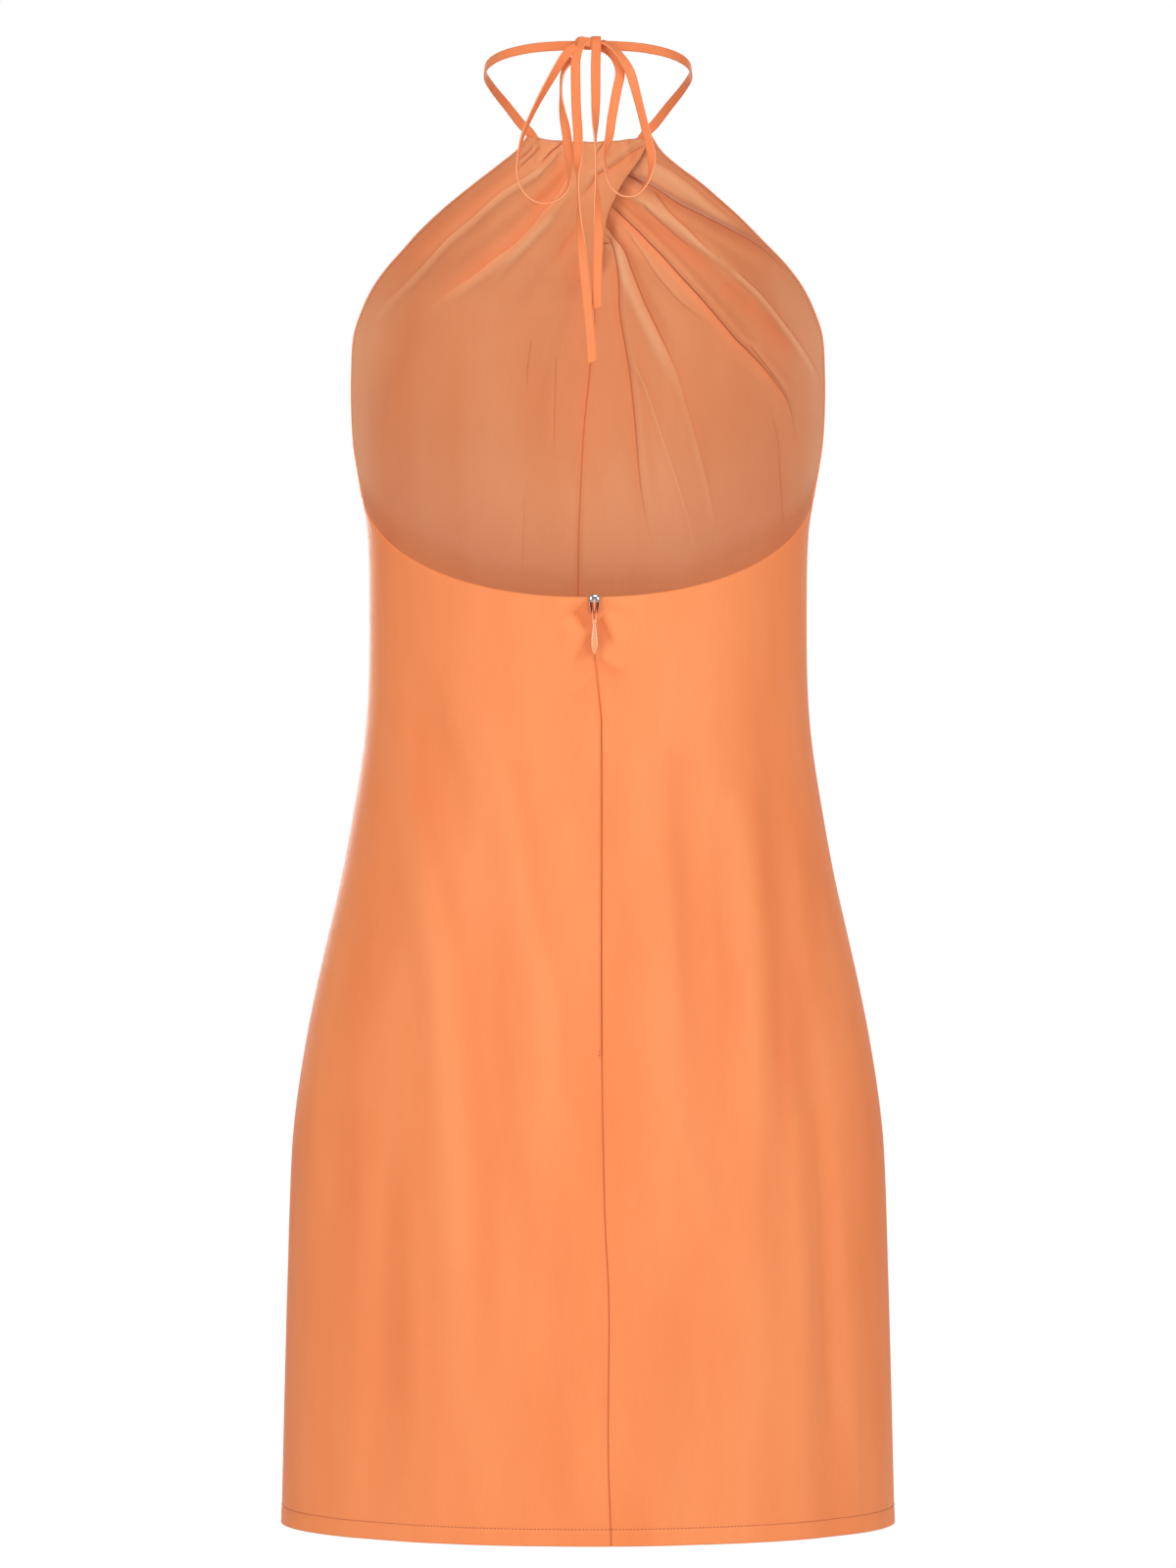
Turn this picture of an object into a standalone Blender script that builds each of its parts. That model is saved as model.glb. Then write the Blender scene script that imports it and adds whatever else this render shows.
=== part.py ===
"""Halter mini dress with a crossed, gathered front, an open back and a bow at the nape.

Metres, +Z up. The front of the dress faces -Y and its open back faces +Y, so +X is the
wearer's left. The origin is the nape of the neck, where the tied neck strap rests.
The dress is hollow, in the form that it has when it is worn. Its walls are one cloth
thickness, and neighbouring pieces stay SEAM_GAP apart where they are sewn together.
"""

import math
from collections import namedtuple

import bpy
import bmesh
from mathutils import Vector

MM = 0.001

# Driving sizes
HEM_HEIGHT = -0.897
NECKLINE_HEIGHT = -0.0452
NECKLINE_DIP = 0.0033
NECKLINE_DIP_REACH = 0.030
CLOTH_WALL = 0.0012
SEAM_GAP = 0.0003

# The back neckline is a scoop from the side seams down to the centre back
UNDERARM_HEIGHT = -0.2707
BACK_NECK_HEIGHT = -0.3348
SCOOP_POWER = 1.05

# The front halves cross above this height. The fades are shares of the front's half
# width, and the flat beside the seam below the crossing is a length.
CROSSING_HEIGHT = -0.131
LIFT_FADE = 0.50
COVERED_MARGIN = 0.08
SEAM_FLAT = 0.009

# Grids of the cloth panels
FRONT_COLUMNS = 22
BACK_COLUMNS = 12
BACK_ROWS = 24

# Straps, bow and knot
STRAP_WIDTH = 0.0058
STRAP_THICKNESS = 0.0013
KNOT_CENTRE = Vector((0.0, 0.0095, -0.0052))
KNOT_RADII = Vector((0.0088, 0.0065, 0.0060))
STRAP_STEP = 0.0075

# Zip at the centre back
ZIP_END_HEIGHT = -0.612
ZIP_TOP_HEIGHT = -0.3375
TAPE_WIDTH = 0.011
TAPE_THICKNESS = 0.0010
SLIDER_TOP_HEIGHT = -0.3335
SLIDER_LENGTH = 0.0105
SLIDER_TOP_WIDTH = 0.0068
SLIDER_FOOT_WIDTH = 0.0046
SLIDER_THICKNESS = 0.0021
BRIDGE_WIDTH = 0.0016
BRIDGE_LENGTH = 0.0056
BRIDGE_RISE = 0.0027
BRIDGE_WINDOW = 0.0034
BRIDGE_OPENING = 0.0019
PULL_BAR_RADIUS = 0.00045
PULL_ARM_SPREAD = 0.0017
PULL_ARM_LENGTH = 0.0100
PULL_LENGTH = 0.0306
PULL_WIDTH = 0.0049
PULL_THICKNESS = 0.0013

# Sections of the hollow form, from the hem up. The front and back halves are quarter
# ovals from the centre to the edge, which is the side seam up to the underarm and the
# armhole edge above it. The wrap is how far short of the side that edge stops.
Section = namedtuple("Section", "height edge_x edge_y front_y back_y wrap_degrees")
SECTIONS = (
    Section(-897.0, 187.0, -62.0, -197.0, 73.0, 0.0),
    Section(-814.0, 185.0, -62.0, -195.0, 71.5, 0.0),
    Section(-746.5, 183.2, -62.0, -193.0, 69.5, 0.0),
    Section(-670.0, 180.6, -62.0, -190.0, 66.0, 0.0),
    Section(-638.0, 177.4, -62.0, -188.5, 64.0, 0.0),
    Section(-600.0, 171.4, -62.0, -186.0, 61.0, 0.0),
    Section(-566.0, 164.6, -62.5, -183.5, 57.0, 0.0),
    Section(-536.0, 157.8, -63.0, -181.0, 53.0, 0.0),
    Section(-504.0, 150.6, -64.0, -178.0, 48.0, 0.0),
    Section(-470.0, 144.3, -65.5, -175.0, 43.0, 0.0),
    Section(-423.0, 137.0, -68.0, -172.0, 36.0, 0.0),
    Section(-386.0, 134.2, -69.5, -170.5, 33.0, 0.0),
    Section(-326.5, 133.8, -71.0, -173.0, 33.5, 0.0),
    Section(-292.0, 135.0, -71.6, -177.5, 35.0, 0.0),
    Section(-270.7, 138.3, -72.0, -181.0, 36.0, 0.0),
    Section(-254.1, 141.6, -77.0, -184.0, 36.0, 5.0),
    Section(-237.7, 144.4, -82.0, -186.0, 36.0, 9.0),
    Section(-215.0, 145.9, -87.0, -186.5, 36.0, 13.0),
    Section(-193.0, 146.1, -92.5, -184.0, 36.0, 17.0),
    Section(-169.8, 144.8, -98.0, -177.0, 36.0, 22.0),
    Section(-152.0, 139.1, -101.0, -170.0, 36.0, 27.0),
    Section(-139.1, 132.8, -103.0, -164.0, 36.0, 31.0),
    Section(-127.5, 124.7, -105.0, -158.0, 36.0, 34.0),
    Section(-115.8, 114.5, -106.5, -152.0, 36.0, 37.0),
    Section(-104.1, 104.2, -107.5, -146.5, 36.0, 39.0),
    Section(-91.2, 90.3, -108.5, -140.0, 36.0, 41.0),
    Section(-74.7, 70.4, -109.0, -132.5, 36.0, 42.0),
    Section(-64.2, 56.6, -109.0, -128.0, 36.0, 42.0),
    Section(-54.4, 45.0, -108.5, -124.0, 36.0, 40.0),
    Section(-45.2, 38.5, -108.0, -120.5, 36.0, 38.0),
)

# Centre-front seam, which leans as the pulled cloth leans
FrontSeam = namedtuple("FrontSeam", "height x")
FRONT_SEAM = (
    FrontSeam(-897.0, 0.0),
    FrontSeam(-600.0, 2.0),
    FrontSeam(-400.0, 5.0),
    FrontSeam(-313.0, 6.2),
    FrontSeam(-231.0, 3.1),
    FrontSeam(-186.0, -1.2),
    FrontSeam(-150.0, -4.4),
    FrontSeam(-131.0, -5.8),
    FrontSeam(-111.2, -6.5),
    FrontSeam(-89.3, -5.5),
    FrontSeam(-71.5, -3.6),
    FrontSeam(-45.2, -0.5),
)

# Where the front halves cross above the seam: how far each reaches past the middle, and
# how far it stands off the plain front to lie over or under the other
Crossing = namedtuple("Crossing", "height reach lift")
CROSSINGS = (
    Crossing(-143.0, 0.0, 0.0),
    Crossing(-131.0, 0.0, 0.95),
    Crossing(-122.0, 2.0, 1.8),
    Crossing(-111.2, 3.2, 2.8),
    Crossing(-102.0, 4.1, 3.6),
    Crossing(-89.3, 7.3, 3.8),
    Crossing(-82.0, 11.7, 3.6),
    Crossing(-71.5, 18.3, 3.0),
    Crossing(-51.5, 33.7, 1.5),
    Crossing(-45.2, 38.0, 1.3),
)

# Centre-back seam, with the zip in its upper part
BackSeam = namedtuple("BackSeam", "height x")
BACK_SEAM = (
    BackSeam(-897.0, -13.8),
    BackSeam(-840.0, -12.0),
    BackSeam(-754.0, -12.4),
    BackSeam(-699.0, -9.9),
    BackSeam(-596.0, -8.2),
    BackSeam(-411.0, -8.1),
    BackSeam(-396.0, -6.9),
    BackSeam(-381.0, -5.3),
    BackSeam(-369.0, -4.1),
    BackSeam(-334.8, -3.8),
)

# Heights of the rows of the front panels, in runs of even steps from the hem up
RowRun = namedtuple("RowRun", "top_height rows")
FRONT_ROW_RUNS = (
    RowRun(-0.560, 6),
    RowRun(-0.330, 7),
    RowRun(-0.200, 9),
    RowRun(-0.045, 21),
)

# Folds and pleats in mm: each follows a smooth line through three places on its panel.
# A positive depth goes outward, away from the wearer, and a negative one inward.
Fold = namedtuple(
    "Fold",
    "panels name top_x top_z mid_x mid_z end_x end_z top_width end_width depth",
)
FOLDS = (
    Fold("R", "deep_pleat", -17, -66, -69, -95, -128, -131, 6.0, 9.0, 2.4),
    Fold("R", "band_over_pleat", -14, -58, -62, -80, -118, -113, 9.0, 10.4, -1.8),
    Fold("R", "long_pleat", -8, -82, -66, -135, -127, -214, 5.5, 11.0, 1.4),
    Fold("R", "middle_pleat", -8, -94, -34, -142, -60, -196, 5.5, 10.0, 1.3),
    Fold("R", "steep_pleat", -13, -106, -26, -188, -45, -320, 5.5, 11.0, 1.1),
    Fold("R", "upper_soft_fold", -30, -78, -75, -110, -130, -172, 6.5, 11.0, 0.9),
    Fold("R", "lower_soft_fold", -14, -100, -46, -130, -83, -162, 6.0, 10.0, -0.9),
    Fold("R", "side_fold", -104, -180, -126, -214, -134, -262, 9.0, 11.0, 0.9),
    Fold("R", "waist_fold", -32, -192, -52, -248, -70, -310, 9.0, 13.0, 0.8),
    Fold("L", "edge_ridge", 14, -51, 71, -96, 131, -152, 7.0, 12.0, -1.2),
    Fold("L", "dark_trough", -2, -55, 49, -103, 126, -160, 7.0, 13.0, 1.3),
    Fold("L", "middle_ridge", 20, -82, 48, -113, 80, -146, 8.0, 13.0, -0.9),
    Fold("L", "upper_crease", -33, -51, -9, -69, 10, -84, 5.0, 8.0, 1.3),
    Fold("L", "inner_trough", 2, -84, 24, -124, 58, -176, 7.0, 14.0, 0.9),
    Fold("L", "long_soft_fold", -2, -120, 20, -190, 42, -290, 8.0, 16.0, 0.8),
    Fold("L", "side_hollow", 100, -160, 120, -205, 128, -260, 12.0, 14.0, 1.2),
    Fold("LR", "left_tuck", 32, -42, 30, -52, 34, -68, 3.6, 5.0, 1.2),
    Fold("LR", "second_tuck", 19, -42, 17, -52, 22, -66, 3.6, 5.0, 1.2),
    Fold("LR", "middle_tuck", 5, -43, 3, -54, 6, -68, 3.6, 5.0, 1.3),
    Fold("LR", "fourth_tuck", -8, -43, -11, -54, -13, -68, 3.6, 5.0, 1.2),
    Fold("LR", "right_tuck", -23, -42, -25, -52, -30, -66, 3.6, 5.0, 1.2),
    Fold("L", "front_left_drape", 78, -470, 92, -680, 96, -910, 22.0, 34.0, 4.0),
    Fold("R", "front_right_drape", -64, -500, -82, -690, -90, -910, 20.0, 32.0, 4.4),
    Fold("L", "front_side_drape", 140, -560, 158, -740, 160, -910, 18.0, 26.0, -3.4),
    Fold("R", "front_side_ridge", -136, -540, -150, -720, -154, -910, 18.0, 26.0, -3.2),
    Fold("l", "back_diagonal_hollow", 126, -330, 92, -425, 58, -540, 16.0, 24.0, -2.0),
    Fold("l", "back_light_band", 116, -370, 90, -560, 70, -840, 20.0, 30.0, 2.8),
    Fold("l", "back_inner_band", 84, -380, 50, -455, 20, -620, 13.0, 18.0, 1.4),
    Fold("l", "back_second_hollow", 64, -440, 58, -600, 28, -840, 14.0, 22.0, -1.8),
    Fold("l", "back_left_hollow", 128, -560, 121, -757, 130, -980, 18.0, 26.0, -3.0),
    Fold("l", "back_edge_ridge", 158, -560, 168, -740, 171, -905, 11.0, 15.0, 1.8),
    Fold("l", "back_seam_hollow", 28, -640, 22, -760, 20, -960, 13.0, 18.0, -1.4),
    Fold("r", "back_inner_hollow", -66, -370, -60, -500, -72, -660, 13.0, 18.0, -1.6),
    Fold("r", "back_right_crease", -96, -350, -113, -454, -119, -620, 12.0, 16.0, -1.5),
    Fold("r", "back_right_ridge", -92, -420, -98, -560, -98, -880, 16.0, 24.0, 2.6),
    Fold("r", "back_right_hollow", -40, -660, -62, -790, -66, -960, 18.0, 26.0, -1.8),
    Fold("r", "back_light_patch", -20, -570, -56, -664, -90, -760, 15.0, 20.0, 1.6),
    Fold("r", "back_edge_fold", -124, -520, -142, -730, -150, -980, 13.0, 19.0, -3.6),
)
FOLD_SAMPLES = 24
FOLD_RAMP = 0.12
FOLD_FADE = 0.45
DRAPE_WIDTH = 10.5
DRAPE_RAMP = 0.45

# Routes of the straps, in mm, each with the direction that the flat side faces
Route = namedtuple("Route", "x y z face_x face_y face_z")
NECK_STRAP = (
    Route(36.5, -108.5, -43.0, 0.10, -0.95, 0.30),
    Route(41.5, -104.5, -38.5, 0.30, -0.90, 0.30),
    Route(50.0, -92.0, -28.8, 0.60, -0.76, 0.22),
    Route(58.2, -74.0, -20.2, 0.86, -0.48, 0.16),
    Route(62.8, -53.0, -13.8, 0.98, -0.10, 0.12),
    Route(60.2, -33.0, -9.2, 0.90, 0.40, 0.10),
    Route(50.2, -16.0, -5.6, 0.62, 0.76, 0.10),
    Route(34.5, -5.0, -3.2, 0.36, 0.92, 0.08),
    Route(19.0, 1.8, -2.6, 0.24, 0.96, 0.06),
    Route(7.6, 6.0, -2.8, 0.30, 0.94, 0.04),
)
LEFT_LOOP = (
    Route(6.9, 14.7, -3.6, 0.30, 0.93, 0.25),
    Route(12.9, 16.8, -9.1, -0.25, 0.90, -0.15),
    Route(22.4, 17.5, -24.3, -0.62, 0.70, -0.35),
    Route(31.8, 17.0, -41.4, -0.80, 0.42, -0.40),
    Route(39.0, 16.2, -57.6, -0.90, 0.30, -0.30),
    Route(42.0, 15.8, -72.0, -0.98, 0.15, -0.10),
    Route(42.2, 15.8, -82.0, -0.97, 0.10, 0.25),
    Route(38.2, 16.0, -92.0, -0.70, 0.10, 0.70),
    Route(29.7, 16.4, -98.0, -0.20, 0.12, 0.97),
    Route(19.5, 16.6, -97.0, 0.35, 0.14, 0.92),
    Route(12.4, 16.4, -89.9, 0.85, 0.25, 0.45),
    Route(10.4, 15.8, -77.7, 0.85, 0.50, 0.10),
    Route(11.6, 15.2, -67.5, 0.45, 0.90, 0.04),
    Route(13.2, 14.8, -55.0, 0.35, 0.93, 0.00),
    Route(15.4, 14.4, -43.0, 0.80, 0.60, 0.00),
    Route(16.2, 14.0, -33.0, 0.97, 0.20, 0.00),
    Route(15.6, 13.2, -22.0, 0.95, 0.30, 0.00),
    Route(12.6, 12.2, -14.6, 0.75, 0.62, -0.15),
    Route(9.6, 11.0, -10.8, 0.60, 0.70, -0.30),
)
RIGHT_LOOP = (
    Route(-8.2, 14.0, -3.6, -0.35, 0.92, 0.10),
    Route(-14.9, 15.8, -6.4, -0.20, 0.96, 0.20),
    Route(-19.4, 16.8, -11.8, 0.05, 0.98, 0.10),
    Route(-23.5, 17.2, -18.9, 0.30, 0.92, 0.10),
    Route(-28.8, 17.2, -35.1, 0.62, 0.72, 0.20),
    Route(-34.2, 16.8, -53.1, 0.58, 0.76, 0.20),
    Route(-38.0, 16.4, -69.6, 0.55, 0.82, 0.10),
    Route(-37.4, 16.0, -79.8, 0.88, 0.42, 0.20),
    Route(-34.4, 15.8, -87.9, 0.75, 0.20, 0.62),
    Route(-28.3, 15.8, -93.6, 0.35, 0.12, 0.92),
    Route(-21.1, 15.8, -94.0, -0.25, 0.14, 0.95),
    Route(-15.0, 15.8, -89.9, -0.70, 0.18, 0.66),
    Route(-11.4, 15.8, -81.8, -0.93, 0.25, 0.25),
    Route(-10.0, 15.6, -69.6, -0.92, 0.38, 0.02),
    Route(-12.7, 15.2, -58.5, -0.55, 0.83, 0.00),
    Route(-14.5, 14.9, -49.5, -0.30, 0.95, 0.00),
    Route(-18.0, 14.4, -36.0, -0.20, 0.97, 0.00),
    Route(-21.0, 13.6, -25.0, -0.25, 0.95, 0.00),
    Route(-21.2, 12.8, -18.0, -0.40, 0.90, 0.10),
    Route(-18.8, 11.6, -12.0, -0.55, 0.80, 0.15),
    Route(-14.6, 10.6, -8.0, -0.60, 0.75, 0.20),
    Route(-9.9, 9.8, -6.2, -0.60, 0.70, 0.25),
)
LEFT_TAIL = (
    Route(3.7, 14.3, -9.6, 0.24, 0.72, -0.64),
    Route(7.4, 18.6, -22.0, 0.05, 0.99, -0.05),
    Route(7.1, 20.4, -40.0, 0.10, 0.99, 0.00),
    Route(6.0, 21.0, -58.0, 0.10, 0.99, 0.00),
    Route(6.2, 21.2, -70.0, 0.35, 0.93, 0.00),
    Route(6.2, 21.4, -82.0, 0.95, 0.25, 0.00),
    Route(5.7, 21.5, -94.4, 0.99, 0.10, 0.00),
    Route(5.3, 21.6, -110.6, 0.85, 0.50, 0.00),
    Route(3.2, 21.9, -131.0, 0.30, 0.95, 0.00),
    Route(1.2, 22.0, -151.0, 0.15, 0.98, 0.00),
    Route(-0.8, 22.0, -171.5, 0.15, 0.98, 0.00),
    Route(-2.6, 22.0, -194.3, 0.20, 0.98, 0.00),
)
RIGHT_TAIL = (
    Route(-3.6, 16.4, -6.0, 0.00, 0.98, 0.20),
    Route(-4.6, 18.8, -17.0, 0.00, 0.99, 0.05),
    Route(-4.6, 20.2, -36.0, -0.30, 0.95, 0.00),
    Route(-4.4, 20.8, -50.0, -0.75, 0.66, 0.00),
    Route(-4.4, 21.1, -62.0, -0.98, 0.16, 0.00),
    Route(-4.9, 21.4, -84.0, -0.98, 0.14, 0.00),
    Route(-5.5, 21.5, -98.0, -0.80, 0.60, 0.00),
    Route(-6.4, 21.2, -114.5, -0.35, 0.93, 0.00),
    Route(-5.8, 20.7, -131.0, -0.10, 0.99, 0.00),
    Route(-5.3, 20.0, -162.0, -0.05, 0.99, 0.00),
)


def read_column(rows, column, height):
    """Smooth value of one column of a table whose rows rise in height, all in metres."""
    heights = [row.height * MM for row in rows]
    values = [getattr(row, column) for row in rows]
    if height <= heights[0]:
        return values[0]
    if height >= heights[-1]:
        return values[-1]
    index = max(i for i, h in enumerate(heights[:-1]) if h <= height)

    def slope(at):
        low, high = max(at - 1, 0), min(at + 1, len(rows) - 1)
        return (values[high] - values[low]) / (heights[high] - heights[low])

    span = heights[index + 1] - heights[index]
    t = (height - heights[index]) / span
    start, end = values[index], values[index + 1]
    return (
        (2 * t**3 - 3 * t**2 + 1) * start
        + (t**3 - 2 * t**2 + t) * span * slope(index)
        + (3 * t**2 - 2 * t**3) * end
        + (t**3 - t**2) * span * slope(index + 1)
    )


def section_at(height):
    """The hollow form at one height: its columns in metres and radians."""
    read = {name: read_column(SECTIONS, name, height) for name in Section._fields[1:]}
    return Section(
        height,
        read["edge_x"] * MM,
        read["edge_y"] * MM,
        read["front_y"] * MM,
        read["back_y"] * MM,
        math.radians(read["wrap_degrees"]),
    )


def smooth_step(value):
    value = min(max(value, 0.0), 1.0)
    return value * value * (3.0 - 2.0 * value)


def front_oval(form):
    """Half width, half depth and centre of the oval that the front half follows."""
    half_width = form.edge_x / math.cos(form.wrap_degrees)
    half_depth = (form.edge_y - form.front_y) / (1.0 - math.sin(form.wrap_degrees))
    return half_width, half_depth, form.front_y + half_depth


def plain_front(across, height):
    """Point of the plain front, across it from -1 at the right edge to +1 at the left."""
    form = section_at(height)
    half_width, half_depth, centre_y = front_oval(form)
    angle = across * (math.pi / 2 - form.wrap_degrees)
    x = half_width * math.sin(angle)
    return Vector((x, centre_y - half_depth * math.cos(angle), height))


def plain_back(across, height):
    """Point of the plain back, across it from -1 at the right edge to +1 at the left."""
    form = section_at(height)
    angle = across * math.pi / 2
    depth = (form.back_y - form.edge_y) * math.cos(angle)
    return Vector((form.edge_x * math.sin(angle), form.edge_y + depth, height))


def outward(plain, across, height):
    """Direction out of the hollow form, square to its plain surface."""
    small = 1e-4
    along = plain(across + small, height) - plain(across - small, height)
    up = plain(across, height + small) - plain(across, height - small)
    normal = along.cross(up).normalized()
    return normal if plain is plain_front else -normal


def fold_line(fold):
    """Points along a fold, in metres, through its three places."""
    top = Vector((fold.top_x, fold.top_z))
    middle = Vector((fold.mid_x, fold.mid_z))
    end = Vector((fold.end_x, fold.end_z))
    handle = 2 * middle - (top + end) / 2
    line = []
    for step in range(FOLD_SAMPLES + 1):
        t = step / FOLD_SAMPLES
        line.append(((1 - t) ** 2 * top + 2 * t * (1 - t) * handle + t * t * end) * MM)
    return line


FOLD_LINES = {fold.name: fold_line(fold) for fold in FOLDS}


def fold_start(fold, along):
    """A pleat sets in at once, out of the gathers, and a wide drape slowly."""
    if fold.top_width > DRAPE_WIDTH:
        return smooth_step(along / DRAPE_RAMP)
    return smooth_step(along / FOLD_RAMP + 0.4)


def fold_depth(fold, place):
    """How far one fold moves the cloth at a place, given as (x, z) in metres."""
    line = FOLD_LINES[fold.name]
    nearest, along = min(
        ((place - point).length, step / FOLD_SAMPLES) for step, point in enumerate(line)
    )
    width = (fold.top_width + (fold.end_width - fold.top_width) * along) * MM
    if nearest >= width:
        return 0.0
    swell = fold_start(fold, along) * smooth_step((1 - along) / FOLD_FADE)
    return fold.depth * MM * swell * math.cos(nearest / width * math.pi / 2) ** 2


def relief(panels, place):
    """How far the folds of a panel, or those that two panels share, move the cloth."""
    return sum(fold_depth(fold, place) for fold in FOLDS if fold.panels == panels)


def crossing_reach(height):
    if height <= CROSSING_HEIGHT:
        return 0.0
    return max(read_column(CROSSINGS, "reach", height), 0.0) * MM


def across_from_x(x, height):
    """Place across the plain front that has this x."""
    form = section_at(height)
    half_width = front_oval(form)[0]
    return math.asin(x / half_width) / (math.pi / 2 - form.wrap_degrees)


def inner_edge(side, height):
    """Place across the front of a half's inner edge: the seam, then its crossing edge."""
    x = read_column(FRONT_SEAM, "x", height) * MM - side * crossing_reach(height)
    return max(min(across_from_x(x + side * SEAM_GAP / 2, height), 1.0), -1.0)


def covered_reach(height):
    """How far across the front, either way, the two halves lie on each other."""
    return max(abs(inner_edge(1, height)), abs(inner_edge(-1, height)))


def crossing_lift(across, height):
    """How far a half stands off the plain front, to lie over or under the other half."""
    lift = max(read_column(CROSSINGS, "lift", height), 0.0) * MM
    return lift * (1.0 - smooth_step((abs(across) - covered_reach(height)) / LIFT_FADE))


def front_depth(side, panel, across, height, place):
    """How far a front half stands out of the plain front, with room for the other."""
    own = relief(panel, place)
    lift = crossing_lift(across, height)
    if height < CROSSING_HEIGHT:
        seam = read_column(FRONT_SEAM, "x", height) * MM
        own *= smooth_step(abs(place.x - seam) / SEAM_FLAT)
    room = max(lift - CLOTH_WALL / 2 - SEAM_GAP, 0.0)
    kept = min(own, room) if side > 0 else max(own, -room)
    past_cover = abs(across) - covered_reach(height)
    free = smooth_step(past_cover / COVERED_MARGIN - 1.0)
    if height < CROSSING_HEIGHT:
        free = 1.0
    return relief("LR", place) + kept + (own - kept) * free - side * lift


def front_rows():
    """Heights of the front's rows, from the hem up to the neckline."""
    heights = [HEM_HEIGHT]
    for run in FRONT_ROW_RUNS:
        low = heights[-1]
        top = NECKLINE_HEIGHT if run is FRONT_ROW_RUNS[-1] else run.top_height
        heights += [low + (top - low) * (i + 1) / run.rows for i in range(run.rows)]
    return heights


def front_grid(side, panel):
    """Rows of points of one front half: side is +1 for the left and -1 for the right."""
    grid = []
    for row_height in front_rows():
        near_top = smooth_step(1 - (NECKLINE_HEIGHT - row_height) / NECKLINE_DIP_REACH)
        row = []
        for column in range(FRONT_COLUMNS + 1):
            start = inner_edge(side, row_height)
            form = section_at(row_height)
            edge = side * (1.0 - SEAM_GAP / 2 / (form.edge_x * math.pi / 2))
            across = start + (edge - start) * column / FRONT_COLUMNS
            height = row_height - NECKLINE_DIP * near_top * (1 - across * across)
            point = plain_front(across, height)
            place = Vector((point.x, point.z))
            depth = front_depth(side, panel, across, height, place)
            row.append(point + outward(plain_front, across, height) * depth)
        grid.append(row)
    return grid


def scoop_height(across):
    """Height of the back neckline."""
    drop = (1.0 - math.cos(across * math.pi / 2)) ** SCOOP_POWER
    return BACK_NECK_HEIGHT + (UNDERARM_HEIGHT - BACK_NECK_HEIGHT) * drop


def back_seam_across(side, height):
    x = read_column(BACK_SEAM, "x", height) * MM + side * SEAM_GAP / 2
    return math.asin(x / section_at(height).edge_x) / (math.pi / 2)


def back_point(side, panel, share, rise):
    """Point of a back half: share runs from the centre back to the side, rise up it."""
    height = HEM_HEIGHT + (BACK_NECK_HEIGHT - HEM_HEIGHT) * rise
    for _ in range(3):
        start = back_seam_across(side, height)
        edge = side * (1.0 - SEAM_GAP / 2 / (section_at(height).edge_x * math.pi / 2))
        across = start + (edge - start) * share
        height = HEM_HEIGHT + (scoop_height(across) - HEM_HEIGHT) * rise
    point = plain_back(across, height)
    depth = relief(panel, Vector((point.x, point.z)))
    return point + outward(plain_back, across, height) * depth


def back_grid(side, panel):
    return [
        [
            back_point(side, panel, column / BACK_COLUMNS, row / BACK_ROWS)
            for column in range(BACK_COLUMNS + 1)
        ]
        for row in range(BACK_ROWS + 1)
    ]


def new_collection(name):
    collection = bpy.data.collections.new(name)
    bpy.context.scene.collection.children.link(collection)
    return collection


def new_material(name, colour, roughness, metallic=0.0):
    material = bpy.data.materials.new(name)
    material.use_nodes = True
    shader = material.node_tree.nodes["Principled BSDF"]
    shader.inputs["Base Color"].default_value = (*colour, 1.0)
    shader.inputs["Roughness"].default_value = roughness
    shader.inputs["Metallic"].default_value = metallic
    return material


def object_from(mesh_builder, name, collection, material):
    """A mesh object from a filled bmesh, with its faces pointing out."""
    bmesh.ops.recalc_face_normals(mesh_builder, faces=mesh_builder.faces)
    mesh = bpy.data.meshes.new(name)
    mesh_builder.to_mesh(mesh)
    mesh_builder.free()
    item = bpy.data.objects.new(name, mesh)
    collection.objects.link(item)
    item.data.materials.append(material)
    item.data.shade_smooth()
    return item


def cloth_panel(name, grid, collection, material, thickness=CLOTH_WALL):
    """An open grid of cloth, made a wall of even thickness."""
    builder = bmesh.new()
    verts = [[builder.verts.new(point) for point in row] for row in grid]
    for low, high in zip(verts[:-1], verts[1:]):
        for i in range(len(low) - 1):
            builder.faces.new((low[i], low[i + 1], high[i + 1], high[i]))
    panel = object_from(builder, name, collection, material)
    wall = panel.modifiers.new("wall", "SOLIDIFY")
    wall.thickness = thickness
    wall.offset = 0.0
    return panel


def spline_through(points, step):
    """Evenly stepped points on a smooth curve through the given ones."""
    ends = [2 * points[0] - points[1]] + points + [2 * points[-1] - points[-2]]
    dense = []
    for a, b, c, d in zip(ends, ends[1:], ends[2:], ends[3:]):
        pieces = 16
        for k in range(pieces):
            t = k / pieces
            dense.append(
                b
                + 0.5 * t * (c - a)
                + t * t * (a - 2.5 * b + 2 * c - 0.5 * d)
                + t**3 * (1.5 * b - 0.5 * a - 1.5 * c + 0.5 * d)
            )
    dense.append(points[-1])
    lengths = [0.0]
    for a, b in zip(dense, dense[1:]):
        lengths.append(lengths[-1] + (b.to_3d() - a.to_3d()).length)
    count = max(round(lengths[-1] / step), 2)
    out, at = [], 0
    for k in range(count + 1):
        want = lengths[-1] * k / count
        while at < len(lengths) - 2 and lengths[at + 1] < want:
            at += 1
        part = (want - lengths[at]) / max(lengths[at + 1] - lengths[at], 1e-9)
        out.append(dense[at].lerp(dense[at + 1], min(part, 1.0)))
    return out


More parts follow.
